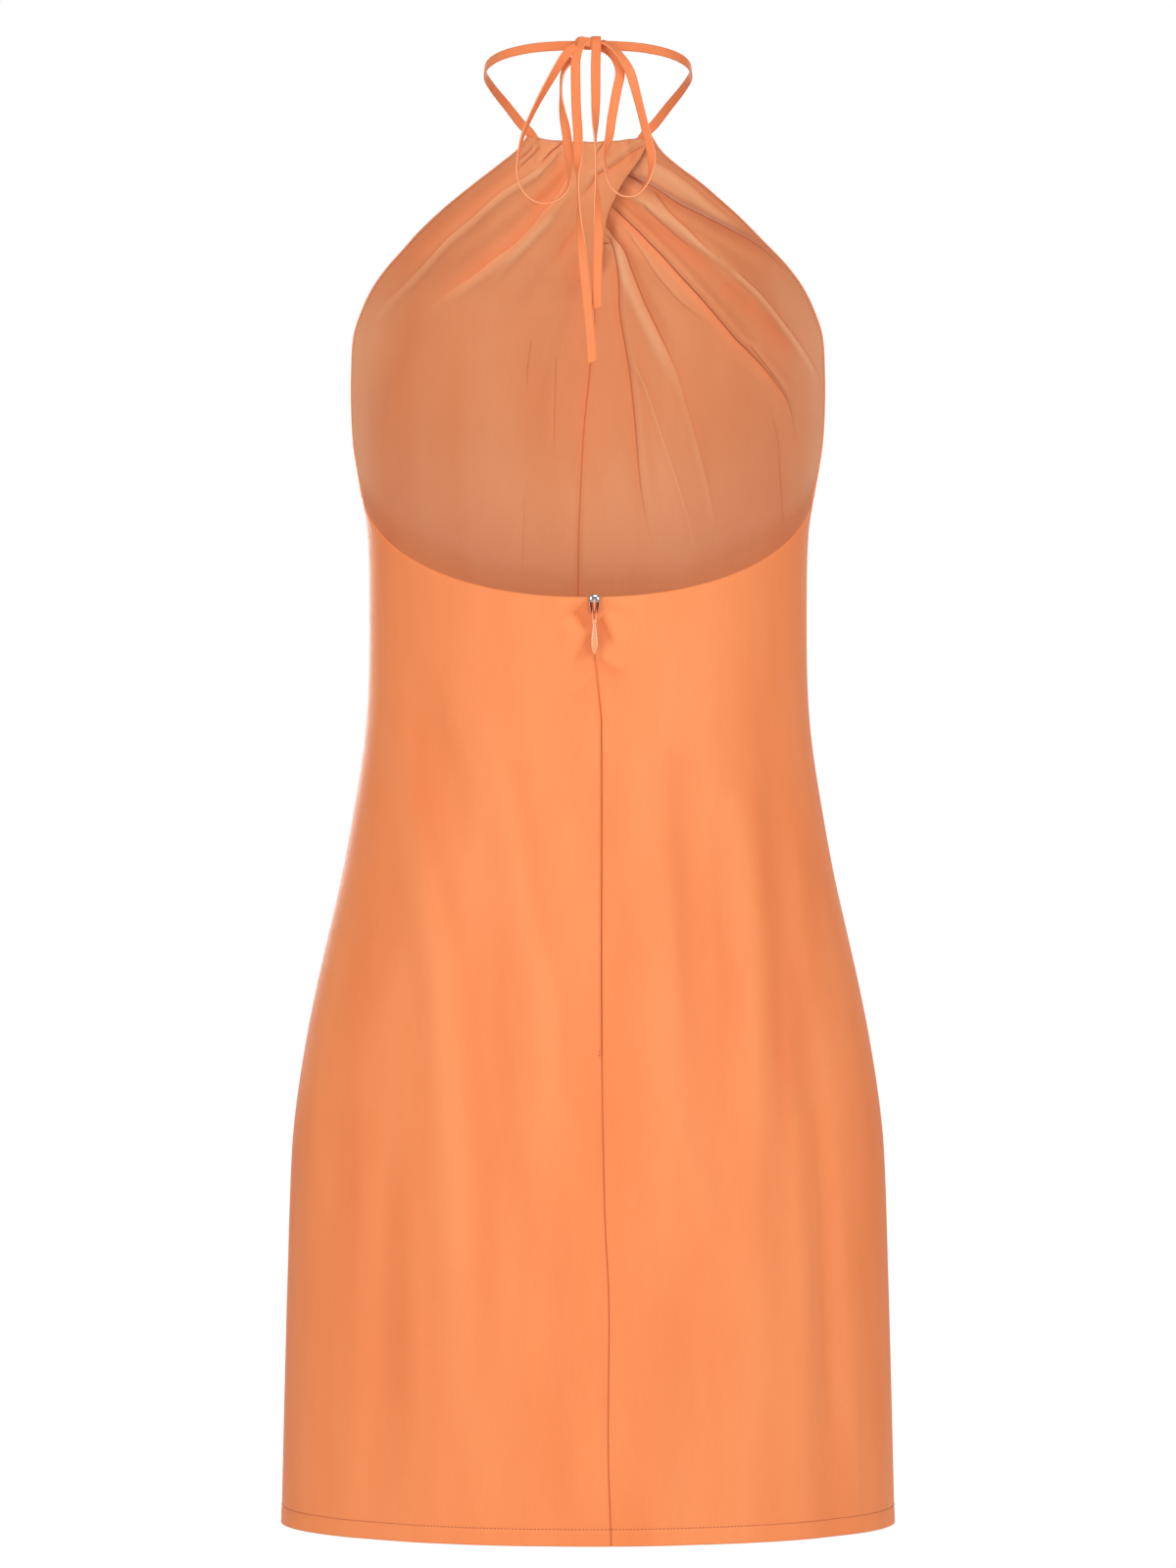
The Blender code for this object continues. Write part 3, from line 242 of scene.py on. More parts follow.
# Creases that only the looks have, in mm. Each has a rolled crest on one side and a groove
# on the other, as seen from inside the dress: side 1 puts the crest left of the line from its
# first place to its last, as seen from the front, and -1 right of it. The line itself is
# painted shade, dark, a thin painted highlight may lie beside it as a pale ridge, the groove
# gets red painted shade and the crest a pale painted highlight. The back is seen from
# outside, so a roll or groove below 0 rises or sinks the other way there. A wide one with
# neither dark nor pale line is a soft band of painted light and shade.
Crease = namedtuple(
    "Crease",
    "panel name side roll roll_width groove groove_width dark pale red crest places",
)
CREASES = rows_of(Crease, (
    ("R", "deep_pleat", -1, 3, 6, 2.6, 2.2, 0.95, 0.25, 0.7, 0.2, (
        (-22.5, -68.4), (-24.4, -70.1), (-30.6, -73.2), (-38, -76.3), (-45.4, -80.6),
        (-55.8, -87.4), (-66.3, -92.8), (-76.7, -98.2), (-87.2, -103.7), (-97.5, -109.2),
        (-107.9, -115.9), (-115.2, -122.3), (-121.4, -128.7), (-127.9, -137.4))),
    ("R", "pale_edge", 1, 0.7, 1.8, 0.6, 1.2, 0.45, 0.75, 0.3, 0, (
        (-23.1, -70.4), (-25.6, -71.3), (-28.6, -72.9), (-31.7, -75.1), (-34.7, -77.7))),
    ("R", "band_crest", 1, 0.8, 3.2, 0.3, 3, 0.22, 0, 0.25, 0.55, (
        (-38.9, -59.6), (-50.4, -65.3), (-58.9, -71.1), (-66.1, -76.3), (-74, -83),
        (-83.1, -89.7), (-94, -98.3), (-104.3, -108.7))),
    ("R", "fine_upper", 1, 0.5, 2, 0.7, 1.3, 0.38, 0.2, 0.45, 0.35, (
        (-39, -78.9), (-50.6, -91.3), (-61.2, -100.6), (-69.5, -108.9), (-79, -117.3),
        (-87.4, -123.7))),
    ("R", "fine_middle", -1, 0.5, 2, 0.5, 1.2, 0.34, 0.2, 0.2, 0.4, (
        (-34.2, -86.7), (-39, -92), (-47.6, -99.2), (-59.1, -108.6), (-70.8, -117.4))),
    ("R", "soft_crest", -1, 0.9, 3.4, 0.3, 3, 0.05, 0, 0, 0.6, (
        (-24.4, -84.6), (-34.2, -89), (-43.3, -95), (-56, -104.5), (-71.7, -117),
        (-83.3, -126.5), (-98, -137.2))),
    ("R", "outer_crest", 1, 1.1, 2.2, 0.6, 1.3, 0.38, 0.3, 0, 0.6, (
        (-90.3, -126.9), (-94.7, -130), (-108.3, -142.8), (-118.7, -155.6), (-129.1, -169.6),
        (-137.1, -182.8), (-142.7, -196.1), (-146.5, -211.4))),
    ("R", "outer_hollow", -1, 0.3, 7, 0.8, 6.5, 0, 0, 0.5, 0, (
        (-83.7, -135.4), (-95.3, -144.2), (-105.6, -154.1), (-116.5, -166.6), (-125.4, -179.8),
        (-131.9, -194.9))),
    ("R", "red_hollow", -1, 0.3, 6, 1, 7, 0, 0, 0.6, 0, (
        (-18.3, -80.6), (-22.6, -83.6), (-29.3, -91.8), (-36.6, -98.4), (-46.4, -104.7),
        (-61.1, -114.8), (-72.1, -123.3), (-83.7, -133.7), (-92.9, -142.9))),
    ("R", "long_pleat", -1, 1.5, 2.6, 1.9, 1.8, 0.8, 0.75, 0.75, 0, (
        (-10.4, -84.6), (-13.8, -88.1), (-19.2, -93), (-26.3, -99.4), (-32.5, -104.8),
        (-38.8, -110.9), (-47.4, -119.2), (-56.3, -128.7), (-72, -145.4), (-83.6, -159),
        (-92.1, -169), (-100.4, -177.3), (-113.9, -193.6), (-124.1, -210), (-128.7, -231.2),
        (-133.4, -247))),
    ("R", "companion", -1, 0.5, 1.6, 0.6, 1.1, 0.42, 0.35, 0.2, 0, (
        (-101, -172.3), (-104.6, -177.3), (-114.8, -191.6), (-121.9, -202.6), (-126.6, -215.2))),
    ("R", "pale_between", -1, 0.7, 1.6, 0.3, 1.4, 0.14, 0.45, 0.25, 0.1, (
        (-24.5, -103.5), (-28.6, -109.2), (-34.9, -117.1), (-42.5, -127.8), (-51.5, -138),
        (-59.4, -146), (-69.9, -154.5), (-79.5, -160.7))),
    ("R", "middle_pleat", 1, 1.3, 4.6, 1.5, 1.7, 0.72, 0.1, 0.55, 0.75, (
        (-7.9, -97.5), (-10.7, -100), (-16.2, -106.8), (-22.4, -114.3), (-27.2, -126.5),
        (-34.3, -143.1), (-38.4, -151.7), (-47.9, -170.5), (-55.4, -186.2), (-63.4, -205.1))),
    ("R", "steep_pleat", -1, 0.9, 2.8, 1.3, 1.6, 0.62, 0.1, 0.6, 0.3, (
        (-7.3, -101.6), (-9.5, -104.5), (-13.8, -109), (-17, -118.1), (-19.3, -133.1),
        (-20, -152), (-25.8, -185.9), (-29.4, -218.7), (-33.5, -262.7), (-42.4, -307.2))),
    ("R", "pocket", 1, 0.3, 1.4, 1, 1.2, 0.85, 0, 0.5, 0, (
        (-6.1, -109.5), (-9.2, -109.8), (-11.6, -110), (-14.7, -110.3))),
    ("R", "under_crossing", -1, 0.2, 2, 0.8, 2.4, 0.35, 0, 0.6, 0, (
        (-21.9, -74.8), (-17.1, -81.1), (-12.8, -88.1), (-9.8, -95.7))),
    ("R", "pale_ridge", 1, 0.7, 1.4, 0.2, 1.4, 0.12, 0.4, 0.1, 0.1, (
        (-28.7, -178.9), (-37, -197.3), (-49.9, -235.9), (-62.4, -274.9), (-72.1, -316.4))),
    ("R", "middle_line", 1, 0.3, 2.4, 0.3, 1.8, 0.16, 0.1, 0.2, 0.2, (
        (-55.4, -186), (-65.3, -218.6), (-75, -255.9), (-83.4, -299.4))),
    ("R", "side_line", -1, 0.2, 2.4, 0.3, 1.6, 0.2, 0.1, 0.15, 0, (
        (-114.5, -216.7), (-118.4, -233.3), (-119.2, -251.5), (-120.5, -269.7), (-122.3, -299))),
    ("R", "centre_shade", -1, 0.2, 5, 0.4, 9, 0, 0, 0.28, 0, (
        (-6.7, -116.9), (-7.4, -139.3), (-7.4, -169.2), (-6.2, -205.6), (-4.9, -248.9),
        (-2.5, -298.6))),
    ("L", "armhole_hollow", -1, 0.4, 5, 0.7, 6, 0, 0, 0.4, 0, (
        (41.3, -63.7), (49.8, -70.9), (60.8, -79.4), (74.1, -90.4), (89.9, -103.8),
        (106.9, -120.9), (125, -143))),
    ("L", "edge_ridge", -1, 1.1, 2.8, 0.5, 1.6, 0.24, 0.3, 0, 0.5, (
        (29.2, -61), (42.8, -70.4), (56.3, -79.9), (75.2, -96.5), (88.8, -108.1),
        (107.7, -129), (127.5, -150.2), (140.5, -169.1))),
    ("L", "red_patch", -1, 0.5, 6, 1.1, 5, 0, 0, 0.95, 0, (
        (9.7, -57.1), (14.6, -65.9), (19.5, -73.6), (26.8, -81.3), (32.9, -87.2), (37.8, -93.7))),
    ("L", "dark_trough", -1, 1.1, 4, 1.3, 3.2, 0.16, 0.25, 0.8, 0.35, (
        (9.7, -61.8), (15.2, -72.3), (23.2, -83), (28.7, -88.9), (36, -98.4), (46.4, -109.1),
        (57.5, -117.6), (70.9, -128.5), (88.6, -140.9), (106.8, -154.8))),
    ("L", "under_crest", -1, 0.9, 3.6, 0.2, 4, 0, 0, 0, 0.45, (
        (23.2, -88.8), (33, -97.7), (42.2, -107.9), (54.6, -121.1), (66.2, -135.4))),
    ("L", "upper_crease", 1, 1.1, 3.2, 1.2, 1.8, 0.42, 0.15, 0.6, 0.3, (
        (-36.4, -49.8), (-33.9, -51.4), (-26.9, -54.8), (-16.1, -62), (-6, -67.1),
        (-2.1, -73.1), (4.9, -79.9), (10.4, -85.2))),
    ("L", "hollow_by_tails", 1, 0.3, 3, 0.9, 3.4, 0, 0, 0.55, 0, (
        (2.4, -93.4), (8.6, -101.6), (14.7, -111), (23.3, -122.9))),
    ("L", "neck_pocket", 1, 0.4, 2, 0.9, 1.6, 0.65, 0.2, 0.5, 0, (
        (-10.3, -47.1), (-8.5, -50), (-6.1, -53.5), (-3.7, -57))),
    ("L", "first_tuck", 1, 0.8, 1.8, 1.1, 1.2, 0.9, 0.3, 0.6, 0, (
        (15.8, -48.1), (18.2, -50.1), (22.7, -53.2), (26.7, -56.9), (31.6, -62.2))),
    ("L", "second_tuck", 1, 0.7, 1.8, 0.8, 1.2, 0.5, 0.3, 0.3, 0.1, (
        (29.8, -51.8), (32.2, -53.6), (39.5, -60.8), (44.4, -66.1))),
    ("L", "outer_tuck", 1, 0.6, 1.8, 0.7, 1.2, 0.45, 0.25, 0.4, 0, (
        (34.6, -50.8), (37.6, -54.4), (41.6, -58.1), (46.1, -61.7))),
    ("L", "dot_tuck", 1, 0.6, 1.6, 0.8, 1.1, 0.8, 0.2, 0.4, 0, (
        (3.6, -47.9), (4.6, -49.4), (5.8, -51.8), (7.3, -55.3))),
    ("L", "fan_line", 1, 0.6, 2, 0.3, 1.6, 0.12, 0.4, 0.1, 0.2, (
        (15.8, -53.1), (22.5, -59.1), (29.2, -65.6), (34.7, -73.9))),
    ("L", "fine_left", 1, 0.2, 1.5, 0.3, 1, 0.3, 0.1, 0.1, 0, (
        (35.8, -166.4), (36.7, -175.4), (38, -185.1), (38.6, -202.2))),
    ("L", "fine_middle", 1, 0.2, 1.5, 0.3, 1, 0.26, 0.1, 0.1, 0, (
        (20, -176.5), (20.7, -199.5), (21.3, -224.2), (21.6, -247.7))),
    ("L", "fine_lower", 1, 0.2, 1.8, 0.3, 1.2, 0.14, 0.05, 0.1, 0, (
        (40.1, -264.7), (40.6, -289.5), (41.2, -318.6))),
    ("L", "tail_shade", 1, 0.2, 5, 0.4, 9, 0, 0, 0.36, 0, (
        (6.1, -116.9), (4.9, -139.3), (2.5, -163.1), (1.2, -193.4), (2.5, -230.3),
        (5.6, -273.8))),
    ("l", "slider_pucker", 1, 0.9, 6, -2.4, 4.8, 0.05, 0, 1, 0.5, (
        (9, -343.6), (5.8, -347.1), (3, -351.6), (1.2, -357.7))),
    ("l", "slider_bulge", 1, 0.5, 4, -0.3, 3, 0.1, 0, 0.2, 0.4, (
        (1.2, -336.6), (7, -339.5), (12.9, -341.2), (19.9, -342.4))),
    ("l", "pull_pucker", 1, 0.5, 5, -1.2, 4, 0.03, 0, 0.6, 0.3, (
        (-1.8, -356.4), (1.8, -361.7), (5.8, -369.3), (8.8, -377.5))),
    ("l", "low_pucker", 1, 0.2, 2.6, -0.4, 2.6, 0.1, 0, 0.2, 0.2, (
        (-3.5, -382.2), (1.2, -388), (5.8, -391.5), (12.9, -393.3))),
    ("r", "slider_pucker", -1, 0.9, 6, -2.4, 4.4, 0.06, 0, 1, 0.5, (
        (-7.6, -347.1), (-9.9, -351.2), (-12.9, -356.4), (-16.4, -365.4))),
    ("r", "slider_bulge", -1, 0.5, 4, -0.3, 3, 0.1, 0, 0.2, 0.4, (
        (-9.4, -336.5), (-15.2, -339.5), (-22.2, -340.6), (-30.4, -341.2))),
    ("r", "pull_pucker", -1, 0.5, 5, -1.2, 3.6, 0.04, 0, 0.6, 0.3, (
        (-6.4, -369.3), (-9.9, -374), (-15.2, -377.5), (-24.6, -378.6))),
    ("l", "left_band", 1, -0.8, 14, -0.6, 11, 0, 0, 0.26, 0.45, (
        (108, -399), (91, -487), (75, -552), (69, -613), (64, -700), (64, -800), (66, -870))),
    ("l", "middle_band", 1, -0.5, 10, -0.4, 8, 0, 0, 0.2, 0.35, (
        (46, -425), (31, -505), (16, -580), (13, -640), (12, -700))),
    ("l", "low_hollow", -1, 0.2, 12, -0.8, 16, 0, 0, 0.16, 0, (
        (150, -640), (141, -700), (125, -780), (114, -850))),
    ("r", "middle_band", 1, -0.5, 17, -0.2, 10, 0, 0, 0.28, 0.32, (
        (-49, -420), (-53, -480), (-57, -540), (-59, -620), (-60, -700))),
    ("r", "right_band", 1, -0.5, 14, -0.2, 9, 0, 0, 0.3, 0.5, (
        (-98, -445), (-109, -525), (-113, -591), (-115, -660), (-116, -720))),
    ("r", "low_streak", 1, -0.5, 9, -1, 5, 0, 0, 0.12, 0.15, (
        (-137, -640), (-141.6, -690), (-145, -780), (-147, -860))),
))
CREASE_RELIEF = 0.60
CREASE_RAMP = 0.08
CREASE_FADE = 0.40
ROLL_SHARE = 0.75
GROOVE_SLOPES = (0.55, 1.35)
HOLLOW_FALLS = (1.7, 0.35)
LINE_RAMP = 0.06
LINE_FADE = 0.45
LINE_REACH = 2.2
LINE_GROUPS = 3
LEAST_LINE = 0.12

# Painted shade and painted light on the inside of the front, by place: the most of it, the
# height in metres where it starts, and over how much of the cloth it comes in. A painted
# shade is redder, and a glow is painted light, paler.
Shade = namedtuple("Shade", "most height reach")
NECKLINE_SHADE = Shade(0.60, None, 0.030)
UPPER_SHADE = Shade(0.12, -0.270, 0.120)
ARMHOLE_GLOW = Shade(1.00, -0.120, 0.060)
LOWER_GLOW = Shade(0.25, -0.200, 0.080)
FRONT_SEAM_SHADE = (0.5, 0.0017)
FRONT_SEAM_DARK = 0.24
BACK_SEAM_DARK = 0.42
ZIP_DARK_MORE = 0.34
SLIDER_LIGHT = Shade(0.62, -0.420, 0.045)

# What the cloth of one panel is made from: a grid of points and flat places, the painted
# shading from -1 for a pale painted highlight on crests to 1 for red painted shade in
# hollows, and the lines of its creases, painted as shade with a painted highlight beside
# them, and its seam
Cloth = namedtuple(
    "Cloth",
    "points flat tone line_distance line_dark line_pale seam_distance seam_dark shade",
)

# Routes of the straps, in mm, each with the direction that the flat side faces. The neck
# strap's lower ends go in between the two layers at the neckline.
Route = namedtuple("Route", "x y z face_x face_y face_z")
NECK_STRAP = rows_of(Route, (
    (32.4, -113.1, -48.6, 0.45, -0.85, 0.42), (34.5, -110.9, -45.6, 0.4, -0.86, 0.42),
    (37, -108.2, -42.6, 0.2, -0.93, 0.32), (41.5, -104.5, -38.5, 0.3, -0.9, 0.3),
    (50, -92, -28.8, 0.6, -0.76, 0.22), (58.2, -74, -20.2, 0.86, -0.48, 0.16),
    (62.8, -53, -13.8, 0.98, -0.1, 0.12), (60.2, -33, -9.2, 0.9, 0.4, 0.1),
    (50.2, -16, -5.6, 0.62, 0.76, 0.1), (34.5, -5, -3.2, 0.36, 0.92, 0.08),
    (19, 1.8, -2.6, 0.24, 0.96, 0.06), (7.6, 6, -2.8, 0.3, 0.94, 0.04),
))
LEFT_LOOP = rows_of(Route, (
    (6.9, 14.7, -3.6, 0.3, 0.93, 0.25), (12.9, 16.8, -9.1, -0.25, 0.9, -0.15),
    (22.4, 17.5, -24.3, -0.62, 0.7, -0.35), (31.8, 17, -41.4, -0.8, 0.42, -0.4),
    (39, 16.2, -57.6, -0.9, 0.3, -0.3), (42, 15.8, -72, -0.98, 0.15, -0.1),
    (42.2, 15.8, -82, -0.97, 0.1, 0.25), (38.2, 16, -92, -0.7, 0.1, 0.7),
    (29.7, 16.4, -98, -0.2, 0.12, 0.97), (19.5, 16.6, -97, 0.35, 0.14, 0.92),
    (12.4, 16.4, -89.9, 0.85, 0.25, 0.45), (10.4, 15.8, -77.7, 0.85, 0.5, 0.1),
    (11.6, 15.2, -67.5, 0.45, 0.9, 0.04), (13.2, 14.8, -55, 0.35, 0.93, 0),
    (15.4, 14.4, -43, 0.8, 0.6, 0), (16.2, 14, -33, 0.97, 0.2, 0),
    (15.6, 13.2, -22, 0.95, 0.3, 0), (12.6, 12.2, -14.6, 0.75, 0.62, -0.15),
    (9.6, 11, -10.8, 0.6, 0.7, -0.3),
))
RIGHT_LOOP = rows_of(Route, (
    (-8, 13.2, -1, -0.3, 0.5, 0.8), (-11.5, 14.8, -2.5, -0.45, 0.58, 0.68),
    (-15.2, 15.9, -5.2, -0.5, 0.58, 0.64), (-19.6, 16.8, -10.2, -0.45, 0.72, 0.5),
    (-24, 17.2, -17.2, -0.2, 0.9, 0.3), (-27, 17.3, -25.4, 0.25, 0.94, 0.1),
    (-30.4, 17.2, -38, 0.58, 0.76, 0.18), (-34.2, 16.8, -53.1, 0.58, 0.76, 0.2),
    (-38, 16.4, -69.6, 0.55, 0.82, 0.1), (-37.4, 16, -79.8, 0.88, 0.42, 0.2),
    (-34.4, 15.8, -87.9, 0.75, 0.2, 0.62), (-28.3, 15.8, -93.6, 0.35, 0.12, 0.92),
    (-21.1, 15.8, -94, -0.25, 0.14, 0.95), (-15, 15.8, -89.9, -0.7, 0.18, 0.66),
    (-11.4, 15.8, -81.8, -0.93, 0.25, 0.25), (-10, 15.6, -69.6, -0.92, 0.38, 0.02),
    (-12.7, 15.2, -58.5, -0.55, 0.83, 0), (-14.3, 14.9, -47, -0.3, 0.95, 0),
    (-17.2, 14.4, -31, -0.2, 0.97, 0), (-19.2, 13.6, -21.5, -0.1, 0.97, -0.1),
    (-18.4, 12.9, -15.2, 0.15, 0.9, -0.35), (-15, 12, -9.4, 0.35, 0.75, -0.55),
    (-10.2, 11, -5.6, 0.4, 0.65, -0.6), (-7, 10.4, -4.4, 0.4, 0.65, -0.6),
))
LEFT_TAIL = rows_of(Route, (
    (-3, 6, -2, 0.1, -0.8, 0.6), (-1.6, 8.4, 0.9, 0.1, -0.2, 0.97),
    (0.4, 12.2, 0.6, 0.25, 0.5, 0.82), (3, 14.6, -1.6, 0.5, 0.76, 0.4),
    (5.4, 15.8, -5.4, 0.4, 0.9, 0.2), (6.9, 16.6, -10.4, 0.18, 0.98, 0.05),
    (7.5, 17.8, -16.4, 0.08, 0.99, 0), (7.1, 20.4, -40, 0.1, 0.99, 0),
    (6, 21, -58, 0.1, 0.99, 0), (6.2, 21.2, -70, 0.35, 0.93, 0),
    (6.2, 21.4, -82, 0.95, 0.25, 0), (5.7, 21.5, -94.4, 0.99, 0.1, 0),
    (5.3, 21.6, -110.6, 0.85, 0.5, 0), (3.2, 21.9, -131, 0.3, 0.95, 0),
    (1.2, 22, -151, 0.15, 0.98, 0), (-0.8, 22, -171.5, 0.15, 0.98, 0),
    (-2.6, 22, -194.3, 0.2, 0.98, 0),
))
RIGHT_TAIL = rows_of(Route, (
    (-4, 5.4, -5, 0, -0.95, -0.1), (-4.4, 5, -0.8, 0, -0.85, 0.5),
    (-4.7, 8.4, 1.7, 0, -0.1, 1), (-4.9, 12.8, 1.4, 0, 0.35, 0.93),
    (-5, 15.9, -1.2, 0, 0.88, 0.45), (-4.9, 17.2, -6, 0, 0.99, 0.1),
    (-4.6, 18.8, -17, 0, 0.99, 0.05), (-4.6, 20.2, -36, -0.3, 0.95, 0),
    (-4.4, 20.8, -50, -0.75, 0.66, 0), (-4.4, 21.1, -62, -0.98, 0.16, 0),
    (-4.9, 21.4, -84, -0.98, 0.14, 0), (-5.5, 21.5, -98, -0.8, 0.6, 0),
    (-6.4, 21.2, -114.5, -0.35, 0.93, 0), (-5.8, 20.7, -131, -0.1, 0.99, 0),
    (-5.3, 20, -162, -0.05, 0.99, 0),
))

# The knot: both tails come up over it, this wrap goes round it, and a core fills it
KNOT_WRAP = rows_of(Route, (
    (8, 6.6, -3.2, 0.95, -0.2, 0.2), (7.4, 10, -1.6, 0.9, 0.35, 0.35),
    (5.2, 13.2, -0.7, 0.55, 0.7, 0.45), (1.8, 14.7, -1.2, 0.12, 0.88, 0.45),
    (-2.4, 14.8, -2.2, -0.1, 0.97, 0.2), (-6.4, 13.4, -2.9, -0.55, 0.83, 0.1),
    (-8.9, 10, -3.4, -0.92, 0.38, 0.1), (-8.4, 6.6, -3.6, -0.95, -0.3, 0),
))
CORE_CENTRE = (-0.4, 9.6, -2.2)
CORE_RADII = (7.4, 4.6, 3.6)

# The zip's slider and pull as rounded cross-sections in mm, from the top down: place along
# the seam, offset to the side, half width, distance out from the slider's face, half depth
Ring = namedtuple("Ring", "z x half_width y half_depth")
SLIDER_X = -3.825
SLIDER_FACE = 36.278
SLIDER_NOSE = rows_of(Ring, (
    (-333.3, 0, 0.7, -1.1, 0.3), (-333.55, 0, 1.9, -1.1, 0.75), (-334.3, 0, 2.8, -1.1, 1.1),
    (-335.6, 0, 3.25, -1.1, 1.35), (-337.2, 0, 3.2, -1.1, 1.3), (-338, 0, 2.9, -1.1, 1.05),
    (-338.25, 0, 2.3, -1.1, 0.6),
))
SLIDER_PLATE = rows_of(Ring, (
    (-337.6, 0, 2.4, -1.5, 0.35), (-338.2, 0, 2.8, -1.5, 0.5), (-341, 0, 2.6, -1.5, 0.5),
    (-343.4, 0, 2.2, -1.5, 0.5), (-344.2, 0, 1.6, -1.5, 0.35),
))
SLIDER_RAIL = rows_of(Ring, (
    (-337.8, 2.95, 0.2, -0.9, 0.55), (-338.6, 2.95, 0.28, -0.8, 0.75),
    (-341, 2.72, 0.28, -0.8, 0.75), (-343.3, 2.2, 0.28, -0.9, 0.7),
    (-344.1, 1.8, 0.22, -1, 0.4),
))
SLIDER_BRIDGE = rows_of(Ring, (
    (-336.2, 0, 0.3, 0.1, 0.3), (-336.6, 0, 0.52, 1.3, 0.6), (-337.2, 0, 0.54, 2.2, 0.45),
    (-338.8, 0, 0.54, 2.45, 0.4), (-340.6, 0, 0.54, 2.2, 0.45), (-341.6, 0, 0.54, 1.2, 0.7),
    (-342.4, 0, 0.54, 0.1, 0.8), (-343.7, 0, 0.5, -0.5, 0.6), (-344.1, 0, 0.35, -0.8, 0.3),
))
PULL_ARM = rows_of(Ring, (
    (-338.35, 0.84, 0.1, 0.95, 0.25), (-338.75, 0.86, 0.16, 0.95, 0.42),
    (-341.5, 0.88, 0.16, 0.95, 0.4), (-343.6, 1.1, 0.22, 0.95, 0.4),
    (-345.6, 1.3, 0.32, 0.95, 0.4), (-347.4, 0.98, 0.4, 0.95, 0.42),
    (-348.9, 0.62, 0.5, 0.95, 0.45), (-349.6, 0.6, 0.4, 0.95, 0.3),
))
PULL_COLLAR = rows_of(Ring, (
    (-348.5, 0, 0.9, 0.95, 0.4), (-348.9, 0, 1.3, 0.95, 0.62),
    (-350.6, 0, 1.34, 0.95, 0.65), (-351.1, 0, 0.9, 0.95, 0.5),
))
PULL_TAB = rows_of(Ring, (
    (-350.8, 0, 0.7, 0.95, 0.45), (-351.6, 0, 1, 0.95, 0.52), (-354.8, 0, 1.35, 0.95, 0.62),
    (-358.8, 0, 1.82, 0.95, 0.7), (-362.2, 0, 2.02, 0.95, 0.72),
    (-365.2, 0, 1.85, 0.95, 0.68), (-367.6, 0, 1.2, 0.95, 0.55),
    (-368.8, 0, 0.55, 0.95, 0.35), (-369.1, 0, 0.2, 0.95, 0.15),
))
PULL_BAR_HALF = 0.95
PULL_BAR_RADIUS = 0.40


def read_table(rows, column, heights):
    """Smooth values of a table's column at heights in metres, as the solids read it."""
    known = np.array([row.height for row in rows]) * MM
    values = np.array([getattr(row, column) for row in rows])
    count = len(rows)
    low = np.maximum(np.arange(count) - 1, 0)
    high = np.minimum(np.arange(count) + 1, count - 1)
    slopes = (values[high] - values[low]) / (known[high] - known[low])
    heights = np.clip(heights, known[0], known[-1])
    at = np.clip(np.searchsorted(known, heights, side="right") - 1, 0, count - 2)
    span = known[at + 1] - known[at]
    t = (heights - known[at]) / span
    return (
        (2 * t**3 - 3 * t**2 + 1) * values[at]
        + (t**3 - 2 * t**2 + t) * span * slopes[at]
        + (3 * t**2 - 2 * t**3) * values[at + 1]
        + (t**3 - t**2) * span * slopes[at + 1]
    )


def section_at(heights):
    """The hollow form at these heights: its columns in metres and radians."""
    read = {name: read_table(SECTIONS, name, heights) for name in Section._fields[1:]}
    sizes = [read[name] * MM for name in Section._fields[1:-1]]
    return Section(heights, *sizes, np.radians(read["wrap_degrees"]))


def smooth_step(value):
    value = np.clip(value, 0.0, 1.0)
    return value * value * (3.0 - 2.0 * value)


def hump(distance, width):
    """A smooth peak of height 1 at distance 0."""
    return np.exp(-((distance / width) ** 2))


def raised(distance, shape):
    """A small ridge or dip by its height and width."""
    return shape[0] * hump(distance, shape[1])


def unit(vectors):
    lengths = np.linalg.norm(vectors, axis=-1, keepdims=True)
    return vectors / np.maximum(lengths, 1e-12)


def lengths_along(line):
    """Length reached at each point of a line."""
    return np.concatenate(([0.0], np.cumsum(np.linalg.norm(np.diff(line, axis=0), axis=1))))


def points_at(reached, places, line):
    """Points of a line at these lengths along it."""
    return np.stack([np.interp(places, reached, line[:, k]) for k in range(3)], axis=-1)


def squared_off(value, power):
    return math.copysign(abs(value) ** power, value)


def front_oval(form):
    half_width = form.edge_x / np.cos(form.wrap_degrees)
    half_depth = (form.edge_y - form.front_y) / (1.0 - np.sin(form.wrap_degrees))
    return half_width, half_depth, form.front_y + half_depth


def plain_front(across, height):
    """Points of the plain front, across it from -1 at the right edge to +1 at the left."""
    form = section_at(height)
    half_width, half_depth, centre_y = front_oval(form)
    angle = across * (math.pi / 2 - form.wrap_degrees)
    points = (half_width * np.sin(angle), centre_y - half_depth * np.cos(angle), height)
    return np.stack(np.broadcast_arrays(*points), axis=-1)


def plain_back(across, height):
    """Points of the plain back, across it from -1 at the right edge to +1 at the left."""
    form = section_at(height)
    angle = across * math.pi / 2
    depth = (form.back_y - form.edge_y) * np.cos(angle)
    points = (form.edge_x * np.sin(angle), form.edge_y + depth, height)
    return np.stack(np.broadcast_arrays(*points), axis=-1)


def outward(plain, across, height):
    """Directions out of the hollow form, square to its plain surface."""
    small = 1e-4
    along = plain(across + small, height) - plain(across - small, height)
    up = plain(across, height + small) - plain(across, height - small)
    return unit(np.cross(along, up)) * (1.0 if plain is plain_front else -1.0)


def smooth_line(places, steps=8):
    """Points on a smooth curve through places of any dimension."""
    places = np.asarray(places, dtype=float)
    ends = np.vstack((2 * places[0] - places[1], places, 2 * places[-1] - places[-2]))
    line = []
    for a, b, c, d in zip(ends, ends[1:], ends[2:], ends[3:]):
        for t in np.arange(steps) / steps:
            line.append(
                b
                + 0.5 * t * (c - a)
                + t * t * (a - 2.5 * b + 2 * c - 0.5 * d)
                + t**3 * (1.5 * b - 0.5 * a - 1.5 * c + 0.5 * d)
            )
    return np.array(line + [places[-1]])


